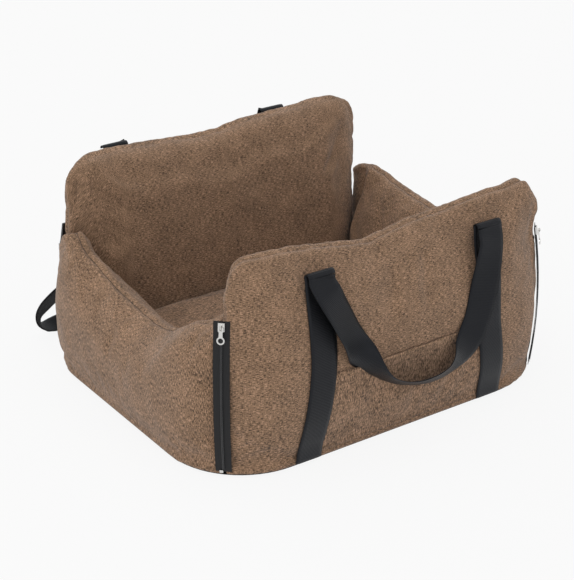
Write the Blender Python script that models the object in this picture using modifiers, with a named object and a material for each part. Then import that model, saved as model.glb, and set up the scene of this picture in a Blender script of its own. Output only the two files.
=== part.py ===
# Dog car bed: four padded walls round a loose seat cushion on a stiff base.
# The front wall unzips at both corners and folds down; each long wall has a webbing carry handle,
# and a webbing tether with two snap hooks hangs behind the rear wall.
# Frame: origin at the centre of the underside, +X to the right, front towards -Y, +Z up. Metres.

import bpy
import bmesh
from math import cos, pi, radians, sin, sqrt
from mathutils import Matrix, Vector

MM = 0.001

# Driving dimensions of the bed
BED_WIDTH = 600 * MM
BED_DEPTH = 500 * MM
CORNER_RADIUS = 125 * MM
WALL_THICKNESS = 90 * MM
CROWN_HEIGHT = 38 * MM
FOOT_INSET = 9 * MM
FOOT_HEIGHT = 6 * MM
FOLD_INSET = 6 * MM
END_ROUNDING = 45 * MM
FACE_STEPS = 4
CROWN_STEPS = 6
# How far the rear panel's ends lie in from the bed's sides
REAR_PANEL_INSET = 50 * MM
REAR_END_THICKNESS = 14 * MM
# How far the pinched ends lie back from the middle of the panel's thickness
REAR_END_SET_BACK = 10 * MM
# How far the rear wall, and its straps and handle, are sewn in to the left of the middle
REAR_WALL_SET_LEFT = 4 * MM
REAR_STRAPS_SET_LEFT = 16 * MM
PANEL_CLEARANCE = 2 * MM
# Below this share of the full thickness a wall's bellies flatten out
SLIM_SHARE = 0.6
# A thin end's crown is at most this share of its thickness
CROWN_SHARE = 0.55

# The walls belly out: each face is an arc, furthest out at this height
BELLY_HEIGHT = 100 * MM
BELLY_RADIUS = 722 * MM
INNER_BELLY_RADIUS = 1500 * MM

# Sections of the front wall: degrees round its corner, then shares of the straight half
MITRE = 45
FRONT_TURNS = (MITRE, 43.5, 41, 37, 31, 22, 11)
FRONT_STRAIGHT = (1, 0.8, 0.6, 0.4, 0.2, 0)
# Sections of the rear wall: distances from its end, then shares of the rest up to its middle
REAR_END_SECTIONS = (0 * MM, 2 * MM, 6 * MM, 13 * MM, 23 * MM, 36 * MM, 55 * MM, 75 * MM)
REAR_MIDDLE_SHARES = (0.2, 0.43, 0.66, 0.83, 1.0)
# Sections of a side wall: degrees round its front corner and how far the inner face has moved back,
# shares of its straight run, then degrees round its rear corner and the drops of the tops there
SIDE_TURNS = ((MITRE, 0.0), (48, 0.1), (54, 0.24), (64, 0.42), (77, 0.68), (90, 1.0))
# The crown is sharp beside the zip and comes to its full height away from it
SIDE_CROWNS = (9 * MM, 13 * MM, 21 * MM, 31 * MM, 38 * MM, 38 * MM)
SIDE_STRAIGHT = (-0.72, -0.44, -0.16, 0.12, 0.4, 0.7, 1.0)
# How far the outer and the inner face lean towards each other at the top along that run
SIDE_LEANS = ((0 * MM, 0 * MM), (0 * MM, 0 * MM), (0 * MM, 0 * MM), (0 * MM, 2 * MM),
              (0 * MM, 8 * MM), (2 * MM, 20 * MM), (6 * MM, 32 * MM))
SIDE_REAR_TURNS = (8, 15, 21, 27, 34, 41, 46)
LEFT_REAR_DROPS = (0 * MM, 0 * MM, 0 * MM, 8 * MM, 28 * MM, 44 * MM, 58 * MM)
RIGHT_REAR_DROPS = (0 * MM, 0 * MM, 0 * MM, 0 * MM, 3 * MM, 6 * MM, 16 * MM)
# The same leans there
SIDE_REAR_LEANS = ((9 * MM, 35 * MM), (9 * MM, 32 * MM), (9 * MM, 15 * MM), (8 * MM, 2 * MM),
                   (5 * MM, 0 * MM), (3 * MM, 0 * MM), (0 * MM, 0 * MM))
SIDE_FILLING_SECTION = 8
SIDE_FILL_STOPS = -6

# Top outlines as (place along the wall, height)
FRONT_TOP = (
    (-236 * MM, 295 * MM), (-165 * MM, 294 * MM), (-110 * MM, 288 * MM), (-50 * MM, 276 * MM),
    (15 * MM, 284 * MM), (90 * MM, 290 * MM), (165 * MM, 295 * MM), (236 * MM, 296 * MM),
)
REAR_TOP = (
    (-250 * MM, 302 * MM), (-185 * MM, 303 * MM), (-95 * MM, 299 * MM), (-19 * MM, 295 * MM),
    (50 * MM, 300 * MM), (132 * MM, 303 * MM), (250 * MM, 306 * MM),
)
LEFT_TOP = (
    (-187 * MM, 219 * MM), (-176 * MM, 210 * MM), (-165 * MM, 201 * MM), (-150 * MM, 197 * MM),
    (-125 * MM, 184 * MM), (-90 * MM, 161 * MM), (-55 * MM, 152 * MM), (-20 * MM, 152 * MM),
    (15 * MM, 156 * MM), (50 * MM, 163 * MM), (87 * MM, 174 * MM), (125 * MM, 189 * MM),
    (142 * MM, 201 * MM), (158 * MM, 212 * MM), (178 * MM, 218 * MM), (215 * MM, 216 * MM),
)
RIGHT_TOP = (
    (-187 * MM, 218 * MM), (-165 * MM, 200 * MM), (-150 * MM, 190 * MM), (-125 * MM, 180 * MM),
    (-90 * MM, 175 * MM), (0 * MM, 174 * MM), (70 * MM, 175 * MM), (87 * MM, 177 * MM),
    (125 * MM, 181 * MM), (158 * MM, 187 * MM), (182 * MM, 190 * MM), (215 * MM, 192 * MM),
)

# Layers of the base and the covers
GAP = 0.3 * MM
UNDERSIDE_THICKNESS = 2 * MM
BOARD_THICKNESS = 3 * MM
LINER_THICKNESS = 1.2 * MM
BASE_INSET = 5 * MM
BOARD_INSET = 30 * MM
LINER_INSET = 8 * MM
COVER_THICKNESS = 1.2 * MM
FILL_CLEARANCE = 2.8 * MM

# Seat cushion
CUSHION_CLEARANCE = 3 * MM
CUSHION_HEIGHT = 68 * MM
CUSHION_CORNER = 40 * MM
CUSHION_CROWN = 12 * MM
CUSHION_DRAW_IN = 5 * MM
CUSHION_UNDER = (0.75, 0.93)
CUSHION_SIDE = (0.0, 0.25, 0.5, 0.75, 1.0)
# Crown rings as (share of the outline, share of the rise)
CUSHION_OVER = ((0.95, 0.45), (0.86, 0.75), (0.7, 0.92), (0.45, 1.0))

# Webbing
WEBBING_WIDTH = 40 * MM
WEBBING_THICKNESS = 1.6 * MM
STRAP_FOOT_X = 152 * MM
STRAP_TOP_X = 136 * MM
STRAP_FOOT_Z = 9 * MM
STRAP_STANDOFF = 1.7 * MM
# Above its sewn line the strap is free and stands off the wall, furthest at its loop
STRAP_SEWN_Z = 150 * MM
STRAP_FREE_STANDOFF = 5 * MM
STRAP_SHARES = (0, 0.08, 0.2, 0.35, 0.5, 0.65, 0.78, 0.9, 1.0)
# Share of the strap's height at which it has leant in to its top place
STRAP_LEAN_END = 0.6
LOOP_TURNS = (30, 60, 90, 120, 150)
FRONT_LOOP_Z = 266 * MM
REAR_LOOP_Z = 288 * MM
LOOP_RADIUS = 5 * MM
HANDLE_RADIUS = 9 * MM
HANDLE_STANDOFF = 14 * MM
# Length below the loops over which a handle drapes out to its standoff
HANDLE_DRAPE = 45 * MM
REAR_HANDLE_DROP = 170 * MM
REAR_HANDLE_STEPS = 32
REAR_HANDLE_POWER = 2.6
REAR_HANDLE_TWIST = 50
REAR_HANDLE_BULGE = 8 * MM

# Front handle between its two ends: place along the wall, distance out from the bed's front,
# height, and the direction across the webbing
FRONT_BIGHT = (
    (-133.0 * MM, 10.2 * MM, 245.0 * MM, 0.950, 0.160, 0.270),
    (-122.5 * MM, 13.6 * MM, 223.0 * MM, 0.861, 0.292, 0.415),
    (-110.2 * MM, 13.5 * MM, 200.1 * MM, 0.825, 0.328, 0.461),
    (-98.1 * MM, 11.8 * MM, 178.0 * MM, 0.798, 0.376, 0.471),
    (-86.5 * MM, 10.5 * MM, 156.5 * MM, 0.831, 0.278, 0.481),
    (-83.0 * MM, 14.6 * MM, 148.3 * MM, 0.860, -0.200, 0.470),
    (-77.9 * MM, 17.6 * MM, 139.0 * MM, 0.531, -0.739, 0.415),
    (-66.6 * MM, 20.0 * MM, 123.6 * MM, 0.261, -0.862, 0.435),
    (-52.2 * MM, 21.6 * MM, 109.2 * MM, 0.068, -0.918, 0.391),
    (-36.7 * MM, 22.3 * MM, 99.4 * MM, 0.042, -0.916, 0.399),
    (-20.3 * MM, 23.4 * MM, 91.9 * MM, 0.053, -0.890, 0.453),
    (-2.6 * MM, 24.0 * MM, 87.0 * MM, 0.080, -0.854, 0.514),
    (16.6 * MM, 23.7 * MM, 83.8 * MM, 0.082, -0.783, 0.616),
    (36.1 * MM, 22.9 * MM, 82.9 * MM, 0.000, -0.696, 0.718),
    (55.5 * MM, 21.5 * MM, 86.1 * MM, -0.176, -0.592, 0.787),
    (72.4 * MM, 18.6 * MM, 94.3 * MM, -0.450, -0.371, 0.812),
    (86.3 * MM, 15.8 * MM, 105.8 * MM, -0.716, 0.000, 0.698),
    (99.0 * MM, 14.1 * MM, 122.2 * MM, -0.818, 0.250, 0.517),
    (109.1 * MM, 12.2 * MM, 139.5 * MM, -0.898, 0.242, 0.368),
    (115.8 * MM, 11.2 * MM, 158.5 * MM, -0.931, 0.281, 0.233),
    (119.9 * MM, 10.9 * MM, 178.3 * MM, -0.933, 0.326, 0.154),
    (123.0 * MM, 11.2 * MM, 199.1 * MM, -0.944, 0.294, 0.152),
    (127.0 * MM, 10.8 * MM, 221.0 * MM, -0.973, 0.164, 0.163),
    (132.5 * MM, 7.6 * MM, 243.6 * MM, -0.980, 0.022, 0.190),
)
# Length at each end over which the handle comes straight out of its loop
HANDLE_LEAD = 7 * MM
ROUTE_STEPS = 3

# Front pocket, its sides caught under the straps
POCKET_UNDERLAP = 5 * MM
POCKET_FOOT_Z = 16 * MM
POCKET_MOUTH_Z = 128 * MM
POCKET_THICKNESS = 1 * MM
POCKET_SHARES = (0, 0.2, 0.4, 0.6, 0.8, 1.0)

# Front fold line
SEAM_RADIUS = 2 * MM
SEAM_END_INSET = 10 * MM

# Corner zips
ZIP_FOOT_Z = 10 * MM
ZIP_TOP_Z = 222 * MM
TAPE_WIDTH = 10.5 * MM
TAPE_THICKNESS = 0.7 * MM
TAPE_STANDOFF = 0.5 * MM
COIL_WIDTH = 1.3 * MM
COIL_HEIGHT = 1.4 * MM
SLIDER_LENGTH = 11 * MM
SLIDER_WIDTH = 8.4 * MM
SLIDER_WALL = 1.1 * MM
SLIDER_CHAMFER = 0.5 * MM
SLIDER_Z = 215 * MM
BRIDGE_SPAN = 5.2 * MM
BRIDGE_RISE = 3.4 * MM
BRIDGE_WIRE = 0.8 * MM
BRIDGE_CORNER = 1.1 * MM
# Height of the puller's axis over the slider's plate, inside the bridge
PULLER_LIFT = 1.4 * MM
PULLER_LENGTH = 22 * MM
PULLER_WIDTH = 6.6 * MM
PULLER_THICKNESS = 1.3 * MM
PULLER_CHAMFER = 0.8 * MM
PULLER_NECK_INSET = 1 * MM
PULLER_NECK_LENGTH = 2.5 * MM
PULLER_EYE_WIDTH = 3.4 * MM
PULLER_EYE_LENGTH = 3.6 * MM
PULLER_BAR = 1.3 * MM
PULLER_RING_RADIUS = 5.2 * MM
PULLER_HOLE_RADIUS = 3.3 * MM
STOP_WIDTH = 5 * MM
STOP_LENGTH = 4 * MM
STOP_HEIGHT = 1.6 * MM
STOP_ROUNDING = 0.8 * MM
COIL_END = 1 * MM
ZIP_STEPS = 9

# Tether and its fittings
RING_FROM_END = 22 * MM
RING_FROM_BACK = 2 * MM
RING_Z = 155 * MM
RING_HALF_WIDTH = 16 * MM
RING_DROP = 18 * MM
RING_WIRE = 1.5 * MM
RING_BEND = 10 * MM
TAB_WIDTH = 26 * MM
TAB_HEIGHT = 34 * MM
TAB_WALL = 2.4 * MM
TAB_TAIL_THICKNESS = 3.2 * MM
# How far the tab's sewn end lies in towards the wall from its ring
TAB_REACH = 8.3 * MM
# Half the angle at which the tail leaves the fold round a bar
TAIL_ANGLE = 38
HOOK_RADIUS = 4.6 * MM
HOOK_WIRE = 1.3 * MM
HOOK_SHANK = 10 * MM
# The hook's bent neck, as (distance out, height over the shank's end)
HOOK_NECK = ((0 * MM, -1.5 * MM), (1.6 * MM, 0.4 * MM), (4 * MM, 2.2 * MM), (4.6 * MM, 4.5 * MM))
HOOK_NECK_SCALE = 1.25
HOOK_NOSE = 1.5 * MM
GATE_FOOT = 2.2 * MM
GATE_WIRE = 1.1 * MM
BARREL_RADIUS = 3.2 * MM
BARREL_LENGTH = 5 * MM
EYE_HALF_WIDTH = 16 * MM
EYE_HEIGHT = 6.5 * MM
EYE_WIRE = 1.3 * MM
EYE_ROUNDING = 2.2 * MM
TETHER_WIDTH = 25 * MM
TETHER_THICKNESS = 1.6 * MM
TETHER_END_LENGTH = 10 * MM
# Left half of the tether's run from its sewn end down to where it lies behind the bed:
# distance in from the ring, distance out from the ring, height, direction across the webbing
TETHER_HANG = (
    (0 * MM, 0 * MM, 99 * MM, 1.0, 0.0, 0.0),
    (-1.5 * MM, 0.6 * MM, 93 * MM, 0.98, 0.04, -0.18),
    (-6 * MM, 2.5 * MM, 86.5 * MM, 0.92, 0.1, -0.37),
    (-12.5 * MM, 4.5 * MM, 80 * MM, 0.86, 0.16, -0.48),
    (-21 * MM, 7 * MM, 73 * MM, 0.82, 0.2, -0.54),
    (-30 * MM, 10 * MM, 65 * MM, 0.8, 0.24, -0.55),
    (-38.5 * MM, 13 * MM, 56 * MM, 0.78, 0.3, -0.54),
    (-45 * MM, 16 * MM, 45 * MM, 0.73, 0.45, -0.51),
    (-47 * MM, 18 * MM, 33 * MM, 0.58, 0.66, -0.47),
    (-43 * MM, 20 * MM, 22.5 * MM, 0.4, 0.87, -0.28),
    (-33 * MM, 24 * MM, 15.5 * MM, 0.22, 0.96, 0.15),
    (-8 * MM, 31 * MM, 13.5 * MM, 0.05, 0.75, 0.66),
    (60 * MM, 40 * MM, 13.5 * MM, 0.0, 0.4, 0.9),
)
# The straight run across the middle: its half length, distance out, height and direction across
TETHER_MIDDLE = 100 * MM
TETHER_OUT = 43 * MM
TETHER_BOW = 1 * MM
TETHER_Z = 13.5 * MM
TETHER_LIE = (0.0, 0.3, 0.95)
ADJUSTER_X = 70 * MM
ADJUSTER_LENGTH = 14 * MM
ADJUSTER_WALL = 2.2 * MM
ADJUSTER_CLEARANCE = 0.7 * MM
ADJUSTER_ROUNDING = 1.5 * MM
SLOT_ROUNDING = 0.4 * MM

# Mesh making
SHARP_ANGLE = 40
WELD_DISTANCE = 0.01 * MM

# Values worked out from the driving dimensions
HALF_WIDTH = BED_WIDTH / 2
HALF_DEPTH = BED_DEPTH / 2
INNER_X = HALF_WIDTH - WALL_THICKNESS
INNER_Y = HALF_DEPTH - WALL_THICKNESS
ARC_X = HALF_WIDTH - CORNER_RADIUS
ARC_Y = HALF_DEPTH - CORNER_RADIUS
REAR_END_X = HALF_WIDTH - REAR_PANEL_INSET
RING_X = REAR_END_X - RING_FROM_END
RING_Y = HALF_DEPTH - RING_FROM_BACK
POCKET_WIDTH = 2 * (STRAP_FOOT_X - WEBBING_WIDTH / 2 + POCKET_UNDERLAP)
BOARD_Z = UNDERSIDE_THICKNESS + GAP
LINER_Z = BOARD_Z + BOARD_THICKNESS + GAP
WALL_BASE_Z = LINER_Z + LINER_THICKNESS + GAP
FOLD_Y = -HALF_DEPTH + FOLD_INSET
FOLD_Z = UNDERSIDE_THICKNESS + GAP + SEAM_RADIUS
COIL_STANDOFF = TAPE_STANDOFF + TAPE_THICKNESS + GAP
CAP_STANDOFF = COIL_STANDOFF + COIL_HEIGHT + GAP
PLATE_TOP = CAP_STANDOFF + SLIDER_WALL
PULLER_STANDOFF = PLATE_TOP + PULLER_LIFT
# Side of a wall's section that is its flat bottom
BOTTOM_SIDE = 2 * FACE_STEPS + CROWN_STEPS + 2

parts = None
cutters = None


def clear_scene():
    """Remove every object, so that only the bed is left."""
    for obj in list(bpy.data.objects):
        bpy.data.objects.remove(obj, do_unlink=True)


def new_collection(name):
    """Make a collection for the bed's parts or for its cutters."""
    collection = bpy.data.collections.new(name)
    bpy.context.scene.collection.children.link(collection)
    return collection


def new_material(name, colour, roughness, metallic=0.0):
    """A plain surface finish from a linear colour, roughness and metallic value."""
    material = bpy.data.materials.new(name)
    material.use_nodes = True
    shader = material.node_tree.nodes["Principled BSDF"]
    shader.inputs["Base Color"].default_value = (*colour, 1.0)
    shader.inputs["Roughness"].default_value = roughness
    shader.inputs["Metallic"].default_value = metallic
    return material


def woven_cover(name):
    """Brown linen-look polyester."""
    return new_material(name + "_weave", (0.21, 0.14, 0.095), 0.92)


def fibre_fill(name):
    """White polyester wadding."""
    return new_material(name + "_wadding", (0.80, 0.80, 0.78), 0.95)


def black_webbing(name):
    """Black nylon webbing."""
    return new_material(name + "_webbing", (0.012, 0.013, 0.016), 0.55)


def zip_black(name):
    """Black polyester zip tape or coil."""
    return new_material(name + "_zip", (0.008, 0.008, 0.010), 0.60)


def bright_metal(name):
    """Nickel-plated zinc or steel."""
    return new_material(name + "_nickel", (0.70, 0.70, 0.71), 0.22, 1.0)


def base_material(name):
    """Dark non-slip cloth and board of the base."""
    return new_material(name + "_base", (0.03, 0.03, 0.032), 0.85)


def add_part(obj, finish):
    """Put a part in the bed's collection with its own finish."""
    for collection in list(obj.users_collection):
        collection.objects.unlink(obj)
    parts.objects.link(obj)
    obj.data.materials.clear()
    obj.data.materials.append(finish(obj.name))
    return obj


def add_cutter(obj):
    """Put a tool body in the cutters' collection, out of sight."""
    for collection in list(obj.users_collection):
        collection.objects.unlink(obj)
    cutters.objects.link(obj)
    obj.hide_render = True
    obj.display_type = "WIRE"
    return obj


def move_origin(obj, point):
    """Put a moving part's origin on its joint's axis, with the part left where it is."""
    obj.data.transform(Matrix.Translation(-Vector(point)))
    obj.location = Vector(point)


def read_outline(points, place):
    """Height of an outline at a place, eased between its points."""
    if place <= points[0][0]:
        return points[0][1]
    for (x0, z0), (x1, z1) in zip(points, points[1:]):
        if place <= x1:
            share = (place - x0) / (x1 - x0)
            return z0 + (z1 - z0) * share * share * (3 - 2 * share)
    return points[-1][1]


def smooth_route(points, steps):
    """Places along a smooth curve through hand-picked points, as tuples of any length."""
    route = []
    for index in range(len(points) - 1):
        before = points[max(index - 1, 0)]
        start = points[index]
        end = points[index + 1]
        after = points[min(index + 2, len(points) - 1)]
        for step in range(steps):
            t = step / steps
            route.append(tuple(
                0.5 * (2 * b + (c - a) * t + (2 * a - 5 * b + 4 * c - d) * t ** 2
                       + (3 * b - a - 3 * c + d) * t ** 3)
                for a, b, c, d in zip(before, start, end, after)
            ))
    route.append(tuple(points[-1]))
    return route


def belly(z, radius=BELLY_RADIUS):
    """How far a wall's face lies inside its outermost line at this height."""
    return (z - BELLY_HEIGHT) ** 2 / (2 * radius)


def loft(name, rings, closed=True, slot=None):
    """Skin a row of alike rings; slot is the (ring, side) quad left open for the filling."""
    mesh = bmesh.new()
    rows = [[mesh.verts.new(point) for point in ring] for ring in rings]
    count = len(rings[0])
    for row, (low, high) in enumerate(zip(rows, rows[1:])):
        for side in range(count):
            if slot == (row, side):
                continue
            after = (side + 1) % count
            mesh.faces.new((low[side], low[after], high[after], high[side]))
    if closed:
        mesh.faces.new(list(reversed(rows[0])))
        mesh.faces.new(rows[-1])
    bmesh.ops.recalc_face_normals(mesh, faces=mesh.faces)
    data = bpy.data.meshes.new(name)
    mesh.to_mesh(data)
    mesh.free()
    obj = bpy.data.objects.new(name, data)
    data.shade_smooth()
    data.set_sharp_from_angle(angle=radians(SHARP_ANGLE))
    return obj


def padded_pair(name, rings, slot, filled=None):
    """A sewn cover with its filling slot, and the wadding in its first filled rings."""
    cover = add_part(loft(name + "_cover", rings, slot=slot), woven_cover)
    wall = cover.modifiers.new("cloth", "SOLIDIFY")
    wall.thickness = COVER_THICKNESS
    wall.offset = -1
    wall.use_even_offset = True
    fill = add_part(loft(name + "_fill", rings[:filled]), fibre_fill)
    shrink = fill.modifiers.new("inside_cover", "DISPLACE")
    shrink.mid_level = 0
    shrink.strength = -FILL_CLEARANCE
    return cover, fill


def ribbon(name, stations, width, thickness, finish):
    """Flat webbing through stations of (centre, direction across the width)."""
    rings = []
    for index, (centre, across) in enumerate(stations):
        before = Vector(stations[max(index - 1, 0)][0])
        after = Vector(stations[min(index + 1, len(stations) - 1)][0])
        along = (after - before).normalized()
        side = Vector(across)
        side = (side - along * side.dot(along)).normalized() * width / 2
        face = along.cross(side).normalized() * thickness / 2
        centre = Vector(centre)
        rings.append([centre - side - face, centre + side - face,
                      centre + side + face, centre - side + face])
    return add_part(loft(name, rings), finish)


def wire(name, points, radius, finish, cyclic=False, scales=None, sides=2):
    """Round wire along points; scales thickens it point by point."""
    curve = bpy.data.curves.new(name, "CURVE")
    curve.dimensions = "3D"
    curve.bevel_depth = radius
    curve.bevel_resolution = sides
    curve.use_fill_caps = True
    spline = curve.splines.new("POLY")
    spline.points.add(len(points) - 1)
    for index, point in enumerate(points):
        spline.points[index].co = (*point, 1)
        spline.points[index].radius = scales[index] if scales else 1
    spline.use_cyclic_u = cyclic
    obj = bpy.data.objects.new(name, curve)
    parts.objects.link(obj)
    return finish_curve(obj, finish)


def finish_curve(obj, finish):
    """Turn a curve into a welded mesh part of the same name."""
    bpy.context.view_layer.update()
    evaluated = obj.evaluated_get(bpy.context.evaluated_depsgraph_get())
    data = bpy.data.meshes.new_from_object(evaluated)
    mesh = bmesh.new()
    mesh.from_mesh(data)
    bmesh.ops.remove_doubles(mesh, verts=mesh.verts, dist=WELD_DISTANCE)
    bmesh.ops.recalc_face_normals(mesh, faces=mesh.faces)
    mesh.to_mesh(data)
    mesh.free()
    name = obj.name
    place = obj.matrix_world.copy()
    bpy.data.objects.remove(obj, do_unlink=True)
    data.name = name
    part = bpy.data.objects.new(name, data)
    part.matrix_world = place
    data.shade_smooth()
    data.set_sharp_from_angle(angle=radians(SHARP_ANGLE))
    return add_part(part, finish)


def plate(name, outlines, thickness, matrix, finish):
    """Flat outline with holes, given thickness and placed by a matrix."""
    curve = bpy.data.curves.new(name, "CURVE")
    curve.dimensions = "2D"
    curve.fill_mode = "BOTH"
    curve.extrude = thickness / 2
    for outline in outlines:
        spline = curve.splines.new("POLY")
        spline.points.add(len(outline) - 1)
        for index, (x, y) in enumerate(outline):
            spline.points[index].co = (x, y, 0, 1)
        spline.use_cyclic_u = True
    obj = bpy.data.objects.new(name, curve)
    parts.objects.link(obj)
    obj.matrix_world = matrix
    part = finish_curve(obj, finish)
    part.data.transform(part.matrix_world)
    part.matrix_world = Matrix.Identity(4)
    return part


def arc_points(centre, radius, start, end, count):
    """Points along an arc in the plane, angles in degrees."""
    return [
        (centre[0] + radius * cos(radians(start + (end - start) * step / count)),
         centre[1] + radius * sin(radians(start + (end - start) * step / count)))
        for step in range(count + 1)
    ]


def rounded_rectangle(width, height, radius, count=3):
    """Outline of a rectangle with round corners about the origin."""
    outline = []
    for start, sign_x, sign_y in ((0, 1, 1), (90, -1, 1), (180, -1, -1), (270, 1, -1)):
        centre = (sign_x * (width / 2 - radius), sign_y * (height / 2 - radius))
        outline += arc_points(centre, radius, start, start + 90, count)
    return outline


def wall_ring(outer, inner, top, highest_crown=CROWN_HEIGHT, leans=(0.0, 0.0)):
    """Section of a padded wall: belly faces, a rounded crown and a tucked-in foot.

    The leans bring the top of the outer and the inner face towards each other.
    """
    across = inner - outer
    thickness = across.length
    across.normalize()
    scale = min(1.0, thickness / (SLIM_SHARE * WALL_THICKNESS))
    crown = min(highest_crown, CROWN_SHARE * (thickness - sum(leans)))
    shoulder = top - crown
    low = WALL_BASE_Z + FOOT_HEIGHT
    levels = [low + (shoulder - low) * step / FACE_STEPS for step in range(FACE_STEPS + 1)]
    foot = min(FOOT_INSET, thickness / 4)

    def at(distance, z):
        point = outer + across * distance
        return Vector((point.x, point.y, z))

    def rise(z):
        return max(0.0, (z - BELLY_HEIGHT) / (top - BELLY_HEIGHT))

    def near_face(z):
        return belly(z) * scale + leans[0] * rise(z)

    def far_face(z):
        return thickness - belly(z, INNER_BELLY_RADIUS) * scale - leans[1] * rise(z)

    ring = [at(foot, WALL_BASE_Z)]
    ring += [at(near_face(z), z) for z in levels]
    near = near_face(shoulder)
    far = far_face(shoulder)
    for step in range(1, CROWN_STEPS):
        turn = pi * step / CROWN_STEPS
        ring.append(at((near + far) / 2 - (far - near) / 2 * cos(turn), shoulder + crown * sin(turn)))
    ring += [at(far_face(z), z) for z in reversed(levels)]
    ring.append(at(thickness - foot, WALL_BASE_Z))
    return ring


def end_drop(distance):
    """How much a free end's top has dropped at this distance from the end."""
    if distance >= END_ROUNDING:
        return 0.0
    return END_ROUNDING - sqrt(END_ROUNDING ** 2 - (END_ROUNDING - distance) ** 2)


def front_wall():
    """Front wall between the two zip mitres."""
    stations = []
    for turn in FRONT_TURNS:
        outer = Vector((ARC_X + CORNER_RADIUS * sin(radians(turn)),
                        -ARC_Y - CORNER_RADIUS * cos(radians(turn)), 0))
        inner = Vector((ARC_X + (INNER_X - ARC_X) * turn / MITRE, -INNER_Y, 0))
        if turn == MITRE:
            away = Vector((-GAP, -GAP, 0))
            outer += away
            inner += away
        distance = CORNER_RADIUS * radians(MITRE - turn)
        stations.append((outer, inner, end_drop(distance + PANEL_CLEARANCE / 2)))
    for share in FRONT_STRAIGHT:
        x = ARC_X * share
        stations.append((Vector((x, -HALF_DEPTH, 0)), Vector((x, -INNER_Y, 0)), 0.0))
    left = [(Vector((-o.x, o.y, 0)), Vector((-i.x, i.y, 0)), drop) for o, i, drop in stations]
    right = list(reversed(stations[:-1]))
    rings = [wall_ring(o, i, read_outline(FRONT_TOP, (o.x + i.x) / 2) - drop)
             for o, i, drop in left + right]
    pair = padded_pair("front_wall", rings, slot=(len(rings) // 2, BOTTOM_SIDE))
    for obj in pair:
        move_origin(obj, (0, FOLD_Y, FOLD_Z))


def rear_wall():
    """Rear wall: one full-width panel with rounded ends."""
    last = REAR_END_SECTIONS[-1]
    distances = list(REAR_END_SECTIONS)
    distances += [last + (REAR_END_X - last) * share for share in REAR_MIDDLE_SHARES]
    stations = []
    for distance in distances:
        x = REAR_END_X - distance
        outer_y = HALF_DEPTH
        if x > ARC_X:
            outer_y = ARC_Y + sqrt(CORNER_RADIUS ** 2 - (x - ARC_X) ** 2)
        pinch = end_drop(distance) / END_ROUNDING
        middle = (outer_y + INNER_Y) / 2 + REAR_END_SET_BACK * pinch
        spread = (outer_y - INNER_Y - REAR_END_THICKNESS) / 2 * (1 - pinch) + REAR_END_THICKNESS / 2
        stations.append((x, middle + spread, middle - spread, end_drop(distance)))
    left = [(-x, o, i, drop) for x, o, i, drop in stations]
    right = list(reversed(stations[:-1]))
    shift = REAR_WALL_SET_LEFT
    rings = [wall_ring(Vector((x - shift, o, 0)), Vector((x - shift, i, 0)), read_outline(REAR_TOP, x) - drop)
             for x, o, i, drop in left + right]
    padded_pair("rear_wall", rings, slot=(len(rings) // 2, BOTTOM_SIDE))


def side_wall(name, side, outline, rear_drops):
    """Side wall from the zip mitre back and round the rear corner; side is -1 left, +1 right."""
    stations = []
    for (turn, inner_share), crown in zip(SIDE_TURNS, SIDE_CROWNS):
        outer = Vector((ARC_X + CORNER_RADIUS * sin(radians(turn)),
                        -ARC_Y - CORNER_RADIUS * cos(radians(turn)), 0))
        inner = Vector((INNER_X, -INNER_Y + (INNER_Y - ARC_Y) * inner_share, 0))
        if turn == MITRE:
            away = Vector((GAP, GAP, 0))
            outer += away
            inner += away
        stations.append((outer, inner, 0.0, crown, (0.0, 0.0)))
    for share, leans in zip(SIDE_STRAIGHT, SIDE_LEANS):
        outer = Vector((HALF_WIDTH, ARC_Y * share, 0))
        inner = Vector((INNER_X, ARC_Y * share, 0))
        stations.append((outer, inner, 0.0, CROWN_HEIGHT, leans))
    # The inner face passes round the rear wall's end, and the wall thins out behind it
    rear_face = INNER_Y - PANEL_CLEARANCE
    rear_end = REAR_END_X - side * REAR_WALL_SET_LEFT + PANEL_CLEARANCE
    inner_places = (
        (INNER_X, (ARC_Y + rear_face) / 2), (INNER_X, rear_face),
        (INNER_X + 0.45 * (rear_end - INNER_X), rear_face), (rear_end, rear_face),
        (rear_end, rear_face + 15 * MM), (rear_end, rear_face + 30 * MM),
        (rear_end + PANEL_CLEARANCE, rear_face + 44 * MM),
    )
    corner = zip(SIDE_REAR_TURNS, inner_places, rear_drops, SIDE_REAR_LEANS)
    for turn, place, drop, leans in corner:
        outer = Vector((ARC_X + CORNER_RADIUS * cos(radians(turn)),
                        ARC_Y + CORNER_RADIUS * sin(radians(turn)), 0))
        stations.append((outer, Vector((*place, 0)), drop, CROWN_HEIGHT, leans))
    mirror = Vector((side, 1, 1))
    rings = []
    for outer, inner, drop, crown, leans in stations:
        top = read_outline(outline, (outer.y + inner.y) / 2) - drop
        rings.append(wall_ring(outer * mirror, inner * mirror, top, crown, leans))
    padded_pair(name, rings, slot=(SIDE_FILLING_SECTION, BOTTOM_SIDE), filled=SIDE_FILL_STOPS)


def base():
    """Non-slip underside, stiff board and fabric liner, one on the other."""
    width = BED_WIDTH - 2 * BASE_INSET
    depth = BED_DEPTH - 2 * BASE_INSET
    radius = CORNER_RADIUS - BASE_INSET
    layers = (
        ("base_underside", 0.0, UNDERSIDE_THICKNESS, 0.0, base_material),
        ("base_board", BOARD_Z, BOARD_THICKNESS, BOARD_INSET, base_material),
        ("base_liner", LINER_Z, LINER_THICKNESS, LINER_INSET, woven_cover),
    )
    for name, low, thickness, inset, finish in layers:
        outline = rounded_rectangle(width - 2 * inset, depth - 2 * inset, radius - inset, 8)
        place = Matrix.Translation((0, 0, low + thickness / 2))
        plate(name, [outline], thickness, place, finish)


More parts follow.
